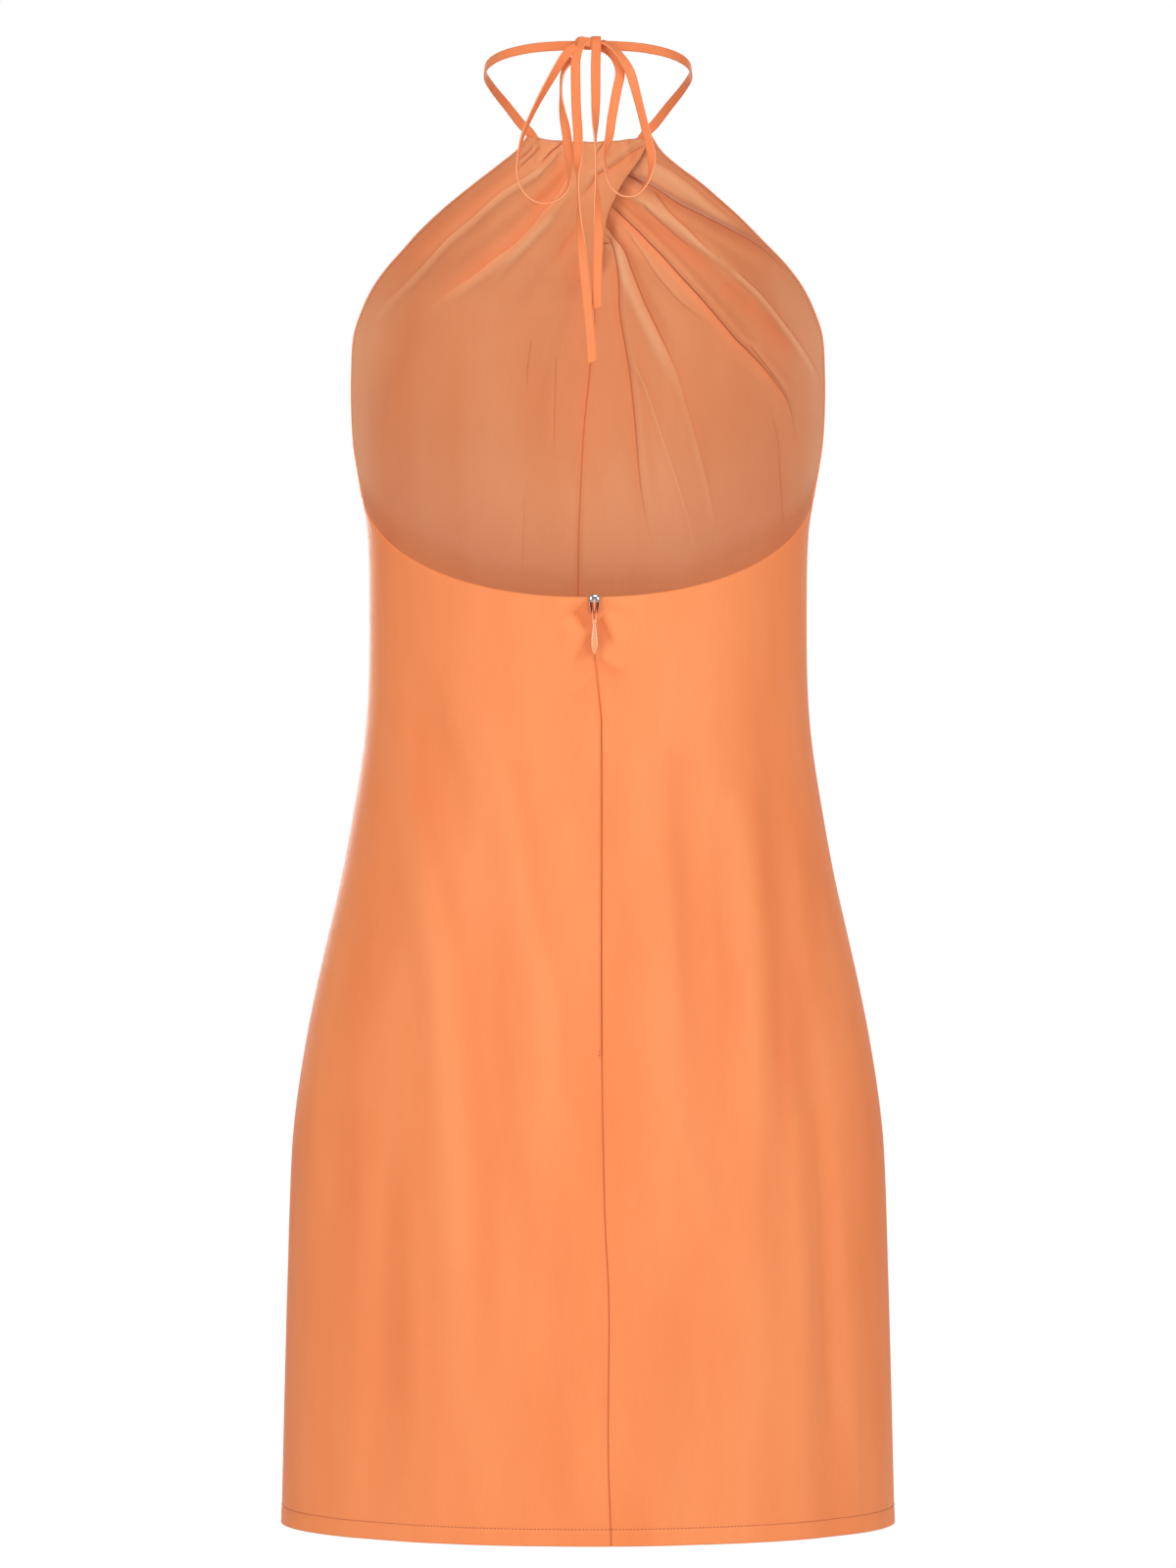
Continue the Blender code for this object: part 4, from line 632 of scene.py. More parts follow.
def fold_line(fold):
    top = np.array((fold.top_x, fold.top_z), dtype=float)
    middle = np.array((fold.mid_x, fold.mid_z), dtype=float)
    end = np.array((fold.end_x, fold.end_z), dtype=float)
    handle = 2 * middle - (top + end) / 2
    t = np.linspace(0.0, 1.0, FOLD_SAMPLES + 1)[:, None]
    return ((1 - t) ** 2 * top + 2 * t * (1 - t) * handle + t * t * end) * MM


def near_line(line, places, reach):
    """Signed distance from each place to a line, positive left of it, and share along it.

    Places further than reach keep a distance of twice the reach.
    """
    distance = np.full(len(places), 2.0 * reach)
    share = np.zeros(len(places))
    low, high = line.min(axis=0) - reach, line.max(axis=0) + reach
    close = np.flatnonzero(np.all((places > low) & (places < high), axis=1))
    if not len(close):
        return distance, share
    steps = np.linalg.norm(np.diff(line, axis=0), axis=1)
    reached = np.concatenate(([0.0], np.cumsum(steps)))
    best = np.full(len(close), np.inf)
    for start, end, step, before in zip(line, line[1:], steps, reached):
        direction = (end - start) / max(step, 1e-9)
        offset = places[close] - start
        along = np.clip(offset @ direction, 0.0, step)
        away = offset - along[:, None] * direction
        gap = np.linalg.norm(away, axis=1)
        left = direction[0] * offset[:, 1] - direction[1] * offset[:, 0]
        nearer = gap < best
        best = np.where(nearer, gap, best)
        signed = np.where(left >= 0, gap, -gap)
        distance[close[nearer]] = signed[nearer]
        share[close[nearer]] = ((before + along) / reached[-1])[nearer]
    return distance, share


def fold_start(fold, share):
    """A pleat sets in at once, out of the gathers, and a wide drape slowly."""
    if fold.top_width > DRAPE_WIDTH:
        return smooth_step(share / DRAPE_RAMP)
    return smooth_step(share / FOLD_RAMP + 0.4)


def folds_depth(panels, places):
    """How far the main folds of a panel move the cloth at each place."""
    depth = np.zeros(len(places))
    for fold in FOLDS:
        if fold.panels != panels:
            continue
        reach = max(fold.top_width, fold.end_width) * MM
        distance, share = near_line(fold_line(fold), places, reach)
        width = (fold.top_width + (fold.end_width - fold.top_width) * share) * MM
        swell = fold_start(fold, share) * smooth_step((1 - share) / FOLD_FADE)
        wave = np.cos(np.clip(np.abs(distance) / width, 0, 1) * math.pi / 2) ** 2
        depth += fold.depth * MM * swell * wave
    return depth


def line_groups(panel):
    """Shares a panel's lined creases among groups, so that lines of a group stay apart."""
    groups = [[] for _ in range(LINE_GROUPS)]
    chosen = {}
    for crease in CREASES:
        if crease.panel != panel or crease.dark + crease.pale < LEAST_LINE:
            continue
        line = smooth_line(crease.places)
        gaps = []
        for group in groups:
            apart = [np.linalg.norm(line[:, None] - other[None], axis=2).min() for other in group]
            gaps.append(min(apart, default=1e3))
        best = int(np.argmax(gaps))
        groups[best].append(line)
        chosen[crease.name] = best
    return chosen


def creases_shape(panel, places):
    """Depth and painted shading that a panel's creases give its places, and the lines of
    painted shade and painted highlight they draw.
    """
    count = len(places)
    depth, tone = np.zeros(count), np.zeros(count)
    distances = np.full((count, LINE_GROUPS), 2.0 * LINE_REACH)
    dark, pale = np.zeros((count, LINE_GROUPS)), np.zeros((count, LINE_GROUPS))
    groups = line_groups(panel)
    for crease in CREASES:
        if crease.panel != panel:
            continue
        line = smooth_line(crease.places) * MM
        reach = (3 * crease.roll_width + 5 * crease.groove_width) * MM
        distance, share = near_line(line, places, reach)
        distance = distance * crease.side / MM
        near = np.abs(distance) < reach / MM
        swell = smooth_step(share / CREASE_RAMP + 0.3) * smooth_step((1 - share) / CREASE_FADE)
        swell = swell * near
        roll = hump(distance - crease.roll_width, ROLL_SHARE * crease.roll_width)
        steep = np.where(distance > 0, *GROOVE_SLOPES) * crease.groove_width
        groove = 1.0 / (1.0 + (distance / steep) ** 2) ** 1.5
        depth += swell * CREASE_RELIEF * (crease.groove * groove - crease.roll * roll) * MM
        # Red painted shade in the hollow and a pale painted highlight on the crest
        if crease.dark > 0:
            fall = np.where(distance < 0, *HOLLOW_FALLS) * crease.groove_width
            hollow = np.exp(-np.abs(distance) / fall)
        else:
            hollow = hump(distance, crease.groove_width)
        tone += swell * (crease.red * hollow - crease.crest * roll)
        # A lined crease draws painted shade along its line and a painted highlight beside it
        if crease.name in groups:
            group = groups[crease.name]
            nearer = np.abs(distance) < np.abs(distances[:, group])
            drawn = smooth_step(share / LINE_RAMP) * smooth_step((1 - share) / LINE_FADE)
            drawn = drawn * (np.abs(distance) < LINE_REACH)
            distances[nearer, group] = distance[nearer]
            dark[nearer, group] = (drawn * crease.dark)[nearer]
            pale[nearer, group] = (drawn * crease.pale)[nearer]
    return depth, tone, distances, dark, pale


def soft_waves(places, seed):
    """Slight unevenness of hanging cloth: long upright waves, in metres."""
    x, z = places[:, 0] / MM, places[:, 1] / MM
    waves = np.zeros(len(places))
    for number in range(1, WAVES + 1):
        turn = seed * 1.7 + number * 2.3
        length = 26.0 + 13.0 * ((number * 5 + seed * 3) % 7)
        lean = 0.10 * math.sin(turn)
        fade = 0.5 + 0.5 * np.sin(z / (90.0 + 17.0 * number) + turn)
        waves += np.sin((x + lean * z) * 2 * math.pi / length + turn) * fade
    return waves * WAVE_HEIGHT * MM


def crossing_reach(height):
    reach = np.maximum(read_table(CROSSINGS, "reach", height), 0.0) * MM
    return np.where(height <= CROSSING_HEIGHT, 0.0, reach)


def inner_edge(side, height, gap):
    """Place across the front of a half's inner edge: the seam, then its crossing edge."""
    x = read_table(FRONT_SEAM, "x", height) * MM - side * crossing_reach(height)
    form = section_at(height)
    share = np.clip((x + side * gap / 2) / front_oval(form)[0], -0.99999, 0.99999)
    return np.clip(np.arcsin(share) / (math.pi / 2 - form.wrap_degrees), -1.0, 1.0)


def covered_reach(height):
    left = np.abs(inner_edge(1, height, SEAM_GAP))
    return np.maximum(left, np.abs(inner_edge(-1, height, SEAM_GAP)))


def crossing_lift(across, height):
    lift = np.maximum(read_table(CROSSINGS, "lift", height), 0.0) * MM
    past_cover = np.abs(across) - covered_reach(height)
    return lift * (1.0 - smooth_step(past_cover / LIFT_FADE))


def run_values(start, runs):
    """Rising values in runs of even steps: each run is its last value and its count."""
    values = [start]
    for last, count in runs:
        values += list(np.linspace(values[-1], last, count + 1)[1:])
    return np.array(values)


def hem_shape(above_hem):
    """Depth of the turned hem: slightly proud of the panel, with a dip at its stitches."""
    above_stitches = above_hem - HEM_DEPTH
    proud = HEM_RISE[0] * smooth_step(1.0 - above_stitches / HEM_RISE[1])
    return proud + raised(above_stitches, HEM_STITCH_DIP)


def panel_relief(panel, points, seed):
    """What the folds, creases and soft waves of a panel give its points: depth, painted
    shading and painted lines.
    """
    places = points[..., (0, 2)].reshape(-1, 2)
    creases, tone, *lines = creases_shape(panel, places)
    depth = folds_depth(panel, places) + creases + soft_waves(places, seed)
    return depth.reshape(points.shape[:2]), tone.reshape(points.shape[:2]), lines


def front_cloth(side, panel):
    """The cloth of one front half: side is +1 for the left."""
    runs = run_values(HEM_HEIGHT, FRONT_ROWS), run_values(0.0, FRONT_COLUMNS)
    row_height, share = np.meshgrid(*runs, indexing="ij")
    start = inner_edge(side, row_height, 0.0)
    across = start + (side - start) * share
    near_top = smooth_step(1 - (NECKLINE_HEIGHT - row_height) / NECKLINE_DIP_REACH)
    height = row_height - NECKLINE_DIP * near_top * (1 - across * across)
    points = plain_front(across, height)
    own, tone, lines = panel_relief(panel, points, 2 + side)
    seam_x = read_table(FRONT_SEAM, "x", height) * MM
    below = height < CROSSING_HEIGHT
    beside_seam = smooth_step(np.abs(points[..., 0] - seam_x) / SEAM_FLAT)
    freed = smooth_step((height - CROSSING_HEIGHT) / CROSSING_FREE)
    own = own * (beside_seam + (1.0 - beside_seam) * freed)

    half_width = section_at(height).edge_x
    to_edge = (1.0 - np.abs(across)) * half_width * GIRTH_SHARE
    sewn = row_height < UNDERARM_HEIGHT
    own *= np.where(sewn, smooth_step(to_edge / SIDE_EASE), 1.0)

    lift = crossing_lift(across, height)
    room = np.maximum(lift - CLOTH_WALL / 2 - SEAM_GAP, 0.0)
    kept = np.minimum(own, room) if side > 0 else np.maximum(own, -room)
    past_cover = np.abs(across) - covered_reach(height)
    free = np.where(below, 1.0, smooth_step(past_cover / COVERED_MARGIN - 1.0))
    shared = folds_depth("LR", points[..., (0, 2)].reshape(-1, 2)).reshape(own.shape)
    depth = shared + kept + (own - kept) * free - side * lift

    to_inner = np.abs(across - start) * half_width * GIRTH_SHARE
    risen = (height - CROSSING_HEIGHT) / CROSSING_EASE
    rolled = -side * raised(to_inner - CROSSING_ROLL_INSET, CROSSING_ROLL) * smooth_step(risen)
    depth += raised(to_inner, FRONT_SEAM_DIP) * smooth_step(-2.0 * risen) + rolled
    armhole = raised(to_edge - ARMHOLE_STITCH_INSET, ARMHOLE_STITCH_RISE)
    armhole += raised(to_edge, ARMHOLE_EDGE_TURN)
    depth += np.where(sewn, raised(to_edge, SIDE_SEAM_DIP), armhole)
    depth += hem_shape(row_height - HEM_HEIGHT)

    points = points + outward(plain_front, across, height) * depth[..., None]
    flat = np.stack((across * half_width * GIRTH_SHARE, height), axis=-1)
    # Painted shade on the inside of the front: redder just above the back neckline and along the
    # front seam, with paler painted light beside the armholes and lower down
    behind = np.clip(points[..., 0] / half_width, -1.0, 1.0)
    over_neckline = height - scoop_height(np.arcsin(behind) / (math.pi / 2))
    shade = front_shade(height, to_edge, over_neckline)
    shade += np.where(below, raised(to_inner, FRONT_SEAM_SHADE), 0.0)
    seam_dark = np.where(below, FRONT_SEAM_DARK, 0.0)
    return Cloth(points, flat, tone, *lines, to_inner / MM, seam_dark, shade)


def front_shade(height, to_edge, over_neckline):
    """How much red painted shade the inside of the front has at each place; below 0, pale
    painted light.
    """
    low, side, upper, lower = NECKLINE_SHADE, ARMHOLE_GLOW, UPPER_SHADE, LOWER_GLOW
    shade = low.most * smooth_step(1.0 - over_neckline / low.reach)
    shade += upper.most * smooth_step((height - upper.height) / upper.reach)
    beside = smooth_step(1.0 - to_edge / side.reach)
    beside = beside * smooth_step((side.height - height) / side.reach)
    shade -= side.most * beside * smooth_step(over_neckline / low.reach)
    return shade - lower.most * smooth_step((lower.height - height) / lower.reach)


def scoop_height(across):
    drop = (1.0 - np.cos(across * math.pi / 2)) ** SCOOP_POWER
    return BACK_NECK_HEIGHT + (UNDERARM_HEIGHT - BACK_NECK_HEIGHT) * drop


def back_seam_across(height):
    x = read_table(BACK_SEAM, "x", height) * MM
    return np.arcsin(x / section_at(height).edge_x) / (math.pi / 2)


def back_cloth(side, panel):
    """The cloth of one back half: side is +1 for the left."""
    runs = run_values(0.0, BACK_ROWS), run_values(0.0, BACK_COLUMNS)
    rise, share = np.meshgrid(*runs, indexing="ij")
    height = HEM_HEIGHT + (BACK_NECK_HEIGHT - HEM_HEIGHT) * rise
    for _ in range(4):
        start = back_seam_across(height)
        across = start + (side - start) * share
        height = HEM_HEIGHT + (scoop_height(across) - HEM_HEIGHT) * rise
    points = plain_back(across, height)
    depth, tone, lines = panel_relief(panel, points, 5 + side)
    half_width = section_at(height).edge_x
    to_edge = (1.0 - np.abs(across)) * half_width * GIRTH_SHARE
    to_seam = np.abs(across - start) * half_width * BACK_GIRTH_SHARE
    depth *= smooth_step(to_edge / SIDE_EASE) * smooth_step(to_seam / BACK_SEAM_EASE + 0.25)
    depth += raised(to_edge, SIDE_SEAM_DIP)
    zipped = smooth_step((height - ZIP_END_HEIGHT) / ZIP_EASE)
    groove, width = BACK_SEAM_GROOVE
    depth += -(groove + ZIP_GROOVE_MORE * zipped) * hump(to_seam, width)
    depth += hem_shape(height - HEM_HEIGHT)
    below_neckline = (1.0 - rise) * (scoop_height(across) - HEM_HEIGHT)
    depth += raised(below_neckline, NECKLINE_EDGE_TURN)

    points = points + outward(plain_back, across, height) * depth[..., None]
    flat = np.stack((across * half_width * GIRTH_SHARE, height), axis=-1)
    near_slider = smooth_step((height - SLIDER_LIGHT.height) / SLIDER_LIGHT.reach)
    seam_dark = BACK_SEAM_DARK + ZIP_DARK_MORE * zipped
    seam_dark = seam_dark * (1.0 - SLIDER_LIGHT.most * near_slider)
    return Cloth(points, flat, tone, *lines, to_seam / MM, seam_dark, 0.0 * tone)


def placed(name, data, place=(0.0, 0.0, 0.0), turn=(0.0, 0.0, 0.0)):
    """An object of any data, in the scene."""
    item = bpy.data.objects.new(name, data)
    item.location = place
    item.rotation_euler = turn
    bpy.context.scene.collection.objects.link(item)
    return item


def new_object(name, mesh, material):
    item = placed(name, mesh)
    mesh.materials.append(material)
    mesh.shade_smooth()
    return item


def mesh_from(name, points, faces, flat=None):
    """A mesh from points and faces, with its flat places as UVs in metres."""
    mesh = bpy.data.meshes.new(name)
    mesh.from_pydata(points.tolist(), [], faces)
    if flat is not None:
        layer = mesh.uv_layers.new(name="flat")
        corners = np.empty(len(mesh.loops), dtype=np.int32)
        mesh.loops.foreach_get("vertex_index", corners)
        layer.data.foreach_set("uv", flat[corners].astype(np.float32).ravel())
    return mesh


def grid_faces(rows, columns, turned):
    corner = np.arange(rows * columns).reshape(rows, columns)
    low, high = corner[:-1], corner[1:]
    quads = np.stack((low[:, :-1], low[:, 1:], high[:, 1:], high[:, :-1]), axis=-1)
    quads = quads.reshape(-1, 4)
    return (quads[:, ::-1] if turned else quads).tolist()


def tube_faces(count, around):
    """Faces of a tube of rings, closed on itself, with open ends."""
    faces = grid_faces(count, around, False)
    for low in range(0, (count - 1) * around, around):
        high = low + around
        faces.append((low + around - 1, low, high, high + around - 1))
    return faces


def solid(name, points, faces, material):
    """A closed piece from points and faces, with its faces turned outward."""
    mesh = mesh_from(name, np.array(points), faces)
    builder = bmesh.new()
    builder.from_mesh(mesh)
    bmesh.ops.recalc_face_normals(builder, faces=builder.faces)
    builder.to_mesh(mesh)
    builder.free()
    return new_object(name, mesh, material)


def closed_tube(name, points, around, material):
    """A solid through rings of points, with a face on each end."""
    faces = tube_faces(len(points) // around, around)
    for first in (0, len(points) - around):
        faces.append(tuple(range(first, first + around)))
    return solid(name, points, faces, material)


def mesh_of(builder, name):
    mesh = bpy.data.meshes.new(name)
    builder.to_mesh(mesh)
    builder.free()
    return mesh


def thicken(piece, thickness):
    shell = piece.modifiers.new("shell", "SOLIDIFY")
    shell.thickness = thickness
    shell.offset = 0.0
    return shell


def cloth_piece(name, cloth, turned):
    """A thin shell of cloth, with its face side out and its duller reverse side in: partly
    the matte back of the weave, partly painted shade of the dress's inside.
    """
    rows, columns = cloth.tone.shape
    faces = grid_faces(rows, columns, turned)
    mesh = mesh_from(name, cloth.points.reshape(-1, 3), faces, cloth.flat.reshape(-1, 2))
    for label in Cloth._fields[2:]:
        kind, key = ("FLOAT_VECTOR", "vector") if label.startswith("line") else ("FLOAT", "value")
        layer = mesh.attributes.new(label, kind, "POINT")
        layer.data.foreach_set(key, getattr(cloth, label).astype(np.float32).ravel())
    piece = new_object(name, mesh, CLOTH)
    mesh.materials.append(REVERSE)
    thicken(piece, SHELL_THICKNESS).material_offset = 1
    return piece


def strap_line(route, mirror_x):
    """Evenly stepped centres and face directions along a strap's route, in metres."""
    size = np.array((-1.0 if mirror_x else 1.0, 1.0, 1.0))
    centres = smooth_line([np.array(row[:3]) * MM * size for row in route], 16)
    faces = smooth_line([np.array(row[3:]) * size for row in route], 16)
    reached = lengths_along(centres)
    count = max(round(reached[-1] / STRAP_STEP), 4)
    even = np.linspace(0.0, reached[-1], count + 1)
    return points_at(reached, even, centres), points_at(reached, even, faces), even


def strap_outline():
    """Cross-section of a turned, pressed strap: flat, with slightly fuller edges."""
    outline = []
    for turn in np.linspace(0.0, 2 * math.pi, STRAP_AROUND, endpoint=False):
        across = squared_off(math.cos(turn), 0.55)
        thick = squared_off(math.sin(turn), 0.6)
        fuller = 0.78 + 0.22 * across * across
        outline.append((across * STRAP_WIDTH / 2, thick * fuller * STRAP_THICKNESS / 2))
    return outline


def strap_piece(name, route, mirror_x=False, slant=0.0):
    """A flat strap along a route. A slant moves one edge of its last end on, and leaves that
    end an open tube."""
    centres, faces, even = strap_line(route, mirror_x)
    tangents = unit(np.gradient(centres, axis=0))
    faces = unit(faces - tangents * np.sum(faces * tangents, axis=1, keepdims=True))
    sides = np.cross(tangents, faces)
    outline = strap_outline()
    around = len(outline)
    to_end = even[-1] - even
    points, flat = [], []
    for i, centre in enumerate(centres):
        pull = slant * smooth_step(1.0 - to_end[i] / STRAP_SLANT_REACH)
        for across, thick in outline:
            moved = sides[i] * across + faces[i] * thick
            points.append(centre + moved + tangents[i] * pull * across / STRAP_WIDTH)
            flat.append((across, even[i]))
    quads = tube_faces(len(centres), around)
    quads.append(tuple(range(around))[::-1])
    end = (len(centres) - 1) * around
    if slant:
        side_wall, face_wall = TUBE_WALLS
        for back in (0.0, TUBE_DEPTH):
            for k, (across, thick) in enumerate(outline):
                point = points[end + k] - sides[-1] * across * side_wall
                point = point - faces[-1] * thick * face_wall
                points.append(point - tangents[-1] * back)
                flat.append((across, even[-1] - back))
        for low in (end, end + around):
            for k in range(around):
                after = (k + 1) % around
                quads.append((low + k, low + after, low + around + after, low + around + k))
        end += 2 * around
    quads.append(tuple(range(end, end + around)))
    mesh = mesh_from(name, np.array(points), quads, np.array(flat))
    return new_object(name, mesh, STRAP), centres


def lofted(name, rings, material, mirror=False, squareness=0.85, around=20):
    """A rounded solid through cross-sections that lie one below the other."""
    rows = smooth_line([tuple(ring) for ring in rings], 5)
    points = []
    for z, x, half_width, y, half_depth in rows:
        x = SLIDER_X + (-x if mirror else x)
        for turn in np.linspace(0.0, 2 * math.pi, around, endpoint=False):
            along = squared_off(math.cos(turn), squareness)
            out = squared_off(math.sin(turn), squareness)
            place = (x + along * max(half_width, 0.02), SLIDER_FACE + y + out * half_depth, z)
            points.append([value * MM for value in place])
    return closed_tube(name, points, around, material)


def joined(name, pieces):
    """One piece from several."""
    builder = bmesh.new()
    for piece in pieces:
        builder.from_mesh(piece.data)
    material = pieces[0].data.materials[0]
    for piece in pieces:
        bpy.data.objects.remove(piece)
    return new_object(name, mesh_of(builder, name), material)


def knot_core():
    """A rounded mass of the same cloth, so that no light shows through the knot."""
    builder = bmesh.new()
    bmesh.ops.create_uvsphere(builder, u_segments=24, v_segments=14, radius=MM)
    bmesh.ops.scale(builder, vec=CORE_RADII, verts=builder.verts)
    bmesh.ops.translate(builder, vec=Vector(CORE_CENTRE) * MM, verts=builder.verts)
    layer = builder.loops.layers.uv.new("flat")
    for face in builder.faces:
        for loop in face.loops:
            loop[layer].uv = (loop.vert.co.x, loop.vert.co.z)
    return new_object("knot_core", mesh_of(builder, "knot_core"), STRAP)


def pull_bar():
    """The short bar that the pull turns on, through the slider's bridge."""
    radius = PULL_BAR_RADIUS * MM
    builder = bmesh.new()
    bmesh.ops.create_cone(
        builder, cap_ends=True, segments=16, radius1=radius, radius2=radius,
        depth=2 * PULL_BAR_HALF * MM,
    )
    turned = Matrix.Rotation(math.pi / 2, 4, "Y")
    moved = Matrix.Translation(Vector((SLIDER_X, SLIDER_FACE + 0.95, -338.75)) * MM)
    bmesh.ops.transform(builder, matrix=moved @ turned, verts=builder.verts)
    return new_object("pull_bar", mesh_of(builder, "pull_bar"), ENAMEL)


def strip_inside(cloth, turned):
    """Points of a zip tape along the inside of a back half, from its seam edge out."""
    heights = cloth.flat[:, 0, 1]
    rows = np.flatnonzero((heights >= ZIP_END_HEIGHT) & (heights <= ZIP_TOP_HEIGHT))
    lift = (SHELL_THICKNESS + TAPE_SHELL) / 2 + TAPE_CLEARANCE
    lifted = cloth.points[rows] - face_out(cloth, turned)[rows] * lift
    wanted = np.linspace(TAPE_START, TAPE_WIDTH, TAPE_COLUMNS)
    return np.stack([points_at(lengths_along(line), wanted, line) for line in lifted])


def tape_piece(name, strip, turned):
    """A thin woven tape laid along the inside of a back half."""
    rows, columns = strip.shape[:2]
    along = lengths_along(strip[:, 0])
    across = np.linspace(0.0, TAPE_WIDTH, columns)
    flat = np.stack(np.broadcast_arrays(across[None], along[:, None]), axis=-1)
    faces = grid_faces(rows, columns, turned)
    mesh = mesh_from(name, strip.reshape(-1, 3), faces, flat.reshape(-1, 2))
    piece = new_object(name, mesh, TAPE)
    thicken(piece, TAPE_SHELL)
    return piece


def coil_piece(name, strip, turned):
    """The zip's coil, one monofilament helix along the inner edge of a tape."""
    line = strip[:, 0] * 0.3 + strip[:, 1] * 0.7
    reached = lengths_along(line)
    count = int(reached[-1] / COIL_PITCH * COIL_STEPS)
    place = np.linspace(0.0, reached[-1], count)
    centre = points_at(reached, place, line)
    side = points_at(reached, place, unit(strip[:, 1] - strip[:, 0]))
    inward = np.cross(unit(np.gradient(centre, axis=0)), side) * (1.0 if turned else -1.0)
    if inward[count // 2, 1] > 0:
        inward = -inward
    turn = place / COIL_PITCH * 2 * math.pi
    arm = side * np.cos(turn)[:, None] * COIL_ACROSS
    arm = arm + inward * np.sin(turn)[:, None] * COIL_INWARD
    path = centre + (arm + inward * COIL_MIDDLE) * COIL_RADIUS
    tangent = unit(np.gradient(path, axis=0))
    first = unit(np.cross(tangent, inward))
    second = np.cross(tangent, first)
    points = []
    for angle in np.linspace(0.0, 2 * math.pi, COIL_AROUND, endpoint=False):
        points.append(path + (first * math.cos(angle) + second * math.sin(angle)) * COIL_WIRE)
    return closed_tube(name, np.stack(points, axis=1).reshape(-1, 3), COIL_AROUND, COIL)


def stitches_along(name, line, outward_at, pitch, share, radius=STITCH_RADIUS):
    """Thread stitches laid along a line of points, each a small raised capsule."""
    reached = lengths_along(line)
    points, faces = [], []
    around, rings = STITCH_AROUND, len(STITCH_RINGS)
    for number in range(int(reached[-1] / pitch)):
        for part, swell in STITCH_RINGS:
            place = (number + 0.5 * (1 - share) + share * part) * pitch
            centre = points_at(reached, place, line)
            along = unit(points_at(reached, place + 0.0002, line) - centre)
            out = points_at(reached, place, outward_at)
            across = np.cross(along, out)
            centre = centre + out * radius * (0.5 * swell - 0.1)
            for turn in np.linspace(0, 2 * math.pi, around, endpoint=False):
                arm = across * math.cos(turn) + out * math.sin(turn)
                points.append(centre + arm * radius * swell)
        base = number * rings * around
        for low in range(base, base + (rings - 1) * around, around):
            for k in range(around):
                a, b = low + k, low + (k + 1) % around
                faces.append((a, b, b + around, a + around))
        faces.append(tuple(range(base, base + around))[::-1])
        last = base + (rings - 1) * around
        faces.append(tuple(range(last, last + around)))
    return solid(name, points, faces, THREAD)


def face_out(cloth, turned):
    """Directions out of the dress at a panel's points."""
    normals = unit(np.cross(np.gradient(cloth.points, axis=1), np.gradient(cloth.points, axis=0)))
    return normals * (-1.0 if turned else 1.0)


# Widths of the drawn lines in mm: the seam's dark line, a crease line's painted shade and
# its painted highlight, and that highlight's distance from its line
SEAM_LINE = 0.42
CREASE_LINE = 0.50
RIDGE_LINE = 0.60
RIDGE_AWAY = 1.1
# A strap's pressed edges, by share of its width: painted shade, redder, then a painted
# highlight, pale at the very edge
EDGE_SHADE = (0.36, 900.0, 0.40)
EDGE_LIGHT = (0.455, 5000.0, 0.85)
# Cloth: its slubs, soft painted light and shade in long random clouds, and how far the
# colour strays
SLUB_SCALE = (900.0, 60.0, 1.0)
CLOUD_SCALE = (22.0, 22.0, 5.0)
CLOUD_TURN = (0.0, 0.12, 0.0)
LIGHTER = (1.10, 1.34, 1.55)
DULLER = (0.91, 0.72, 0.56)
SLUB_DEPTH = 1.6
MOTTLE_SHARE = 0.18
CLOUD_SHARE = 0.82
THREAD_HEIGHT = 0.00006
LINE_HEIGHT = 0.0004
CLOTH_SHINE = 0.2
SHEEN_TINT = (1.0, 0.86, 0.72, 1.0)
Weave = namedtuple("Weave", "thread bump roughness sheen creased inside", defaults=(False,))
Colours = namedtuple("Colours", "base hollow crest line", defaults=((), (), ()))


def fill(node, inputs):
    """Links or sets a node's inputs, by pairs of key and socket or value."""
    for key, value in inputs:
        if isinstance(value, bpy.types.NodeSocket):
            node.id_data.links.new(value, node.inputs[key])
        else:
            node.inputs[key].default_value = value


def new_node(tree, kind, inputs=(), **settings):
    node = tree.nodes.new("ShaderNode" + kind)
    for name, value in settings.items():
        setattr(node, name, value)
    fill(node, inputs)
    return node


def math_node(tree, operation, *values):
    return new_node(tree, "Math", enumerate(values), operation=operation).outputs[0]


def times(tree, first, second):
    return math_node(tree, "MULTIPLY", first, second)


def new_material(name, colour, roughness, metallic=0.0, sheen=0.0):
    material = bpy.data.materials.new(name)
    material.use_nodes = True
    shader = material.node_tree.nodes["Principled BSDF"]
    fill(shader, (
        ("Base Color", (*colour, 1.0)), ("Roughness", roughness), ("Metallic", metallic),
        ("Sheen Weight", sheen), ("Sheen Roughness", 0.35), ("Sheen Tint", SHEEN_TINT),
    ))
    return material, shader


def bell(tree, value, middle, width):
    """A smooth peak of height 1 where the value is at the middle."""
    away = math_node(tree, "SUBTRACT", value, middle)
    return math_node(tree, "EXPONENT", times(tree, times(tree, away, away), -1.0 / width**2))


def mixed(tree, first, second, share):
    """Colour between two, each a socket or a colour."""
    sockets = [(*c, 1.0) if isinstance(c, tuple) else c for c in (first, second)]
    inputs = zip(("A", "B", "Factor"), (*sockets, share))
    return new_node(tree, "Mix", inputs, data_type="RGBA").outputs["Result"]


def attribute(tree, name, output="Fac"):
    return new_node(tree, "Attribute", attribute_name=name).outputs[output]


def separated(tree, vector):
    return new_node(tree, "SeparateXYZ", ((0, vector),)).outputs


def stretched(tree, place, scale, turn=(0.0, 0.0, 0.0)):
    inputs = ("Scale", scale), ("Rotation", turn), ("Vector", place)
    return new_node(tree, "Mapping", inputs).outputs["Vector"]


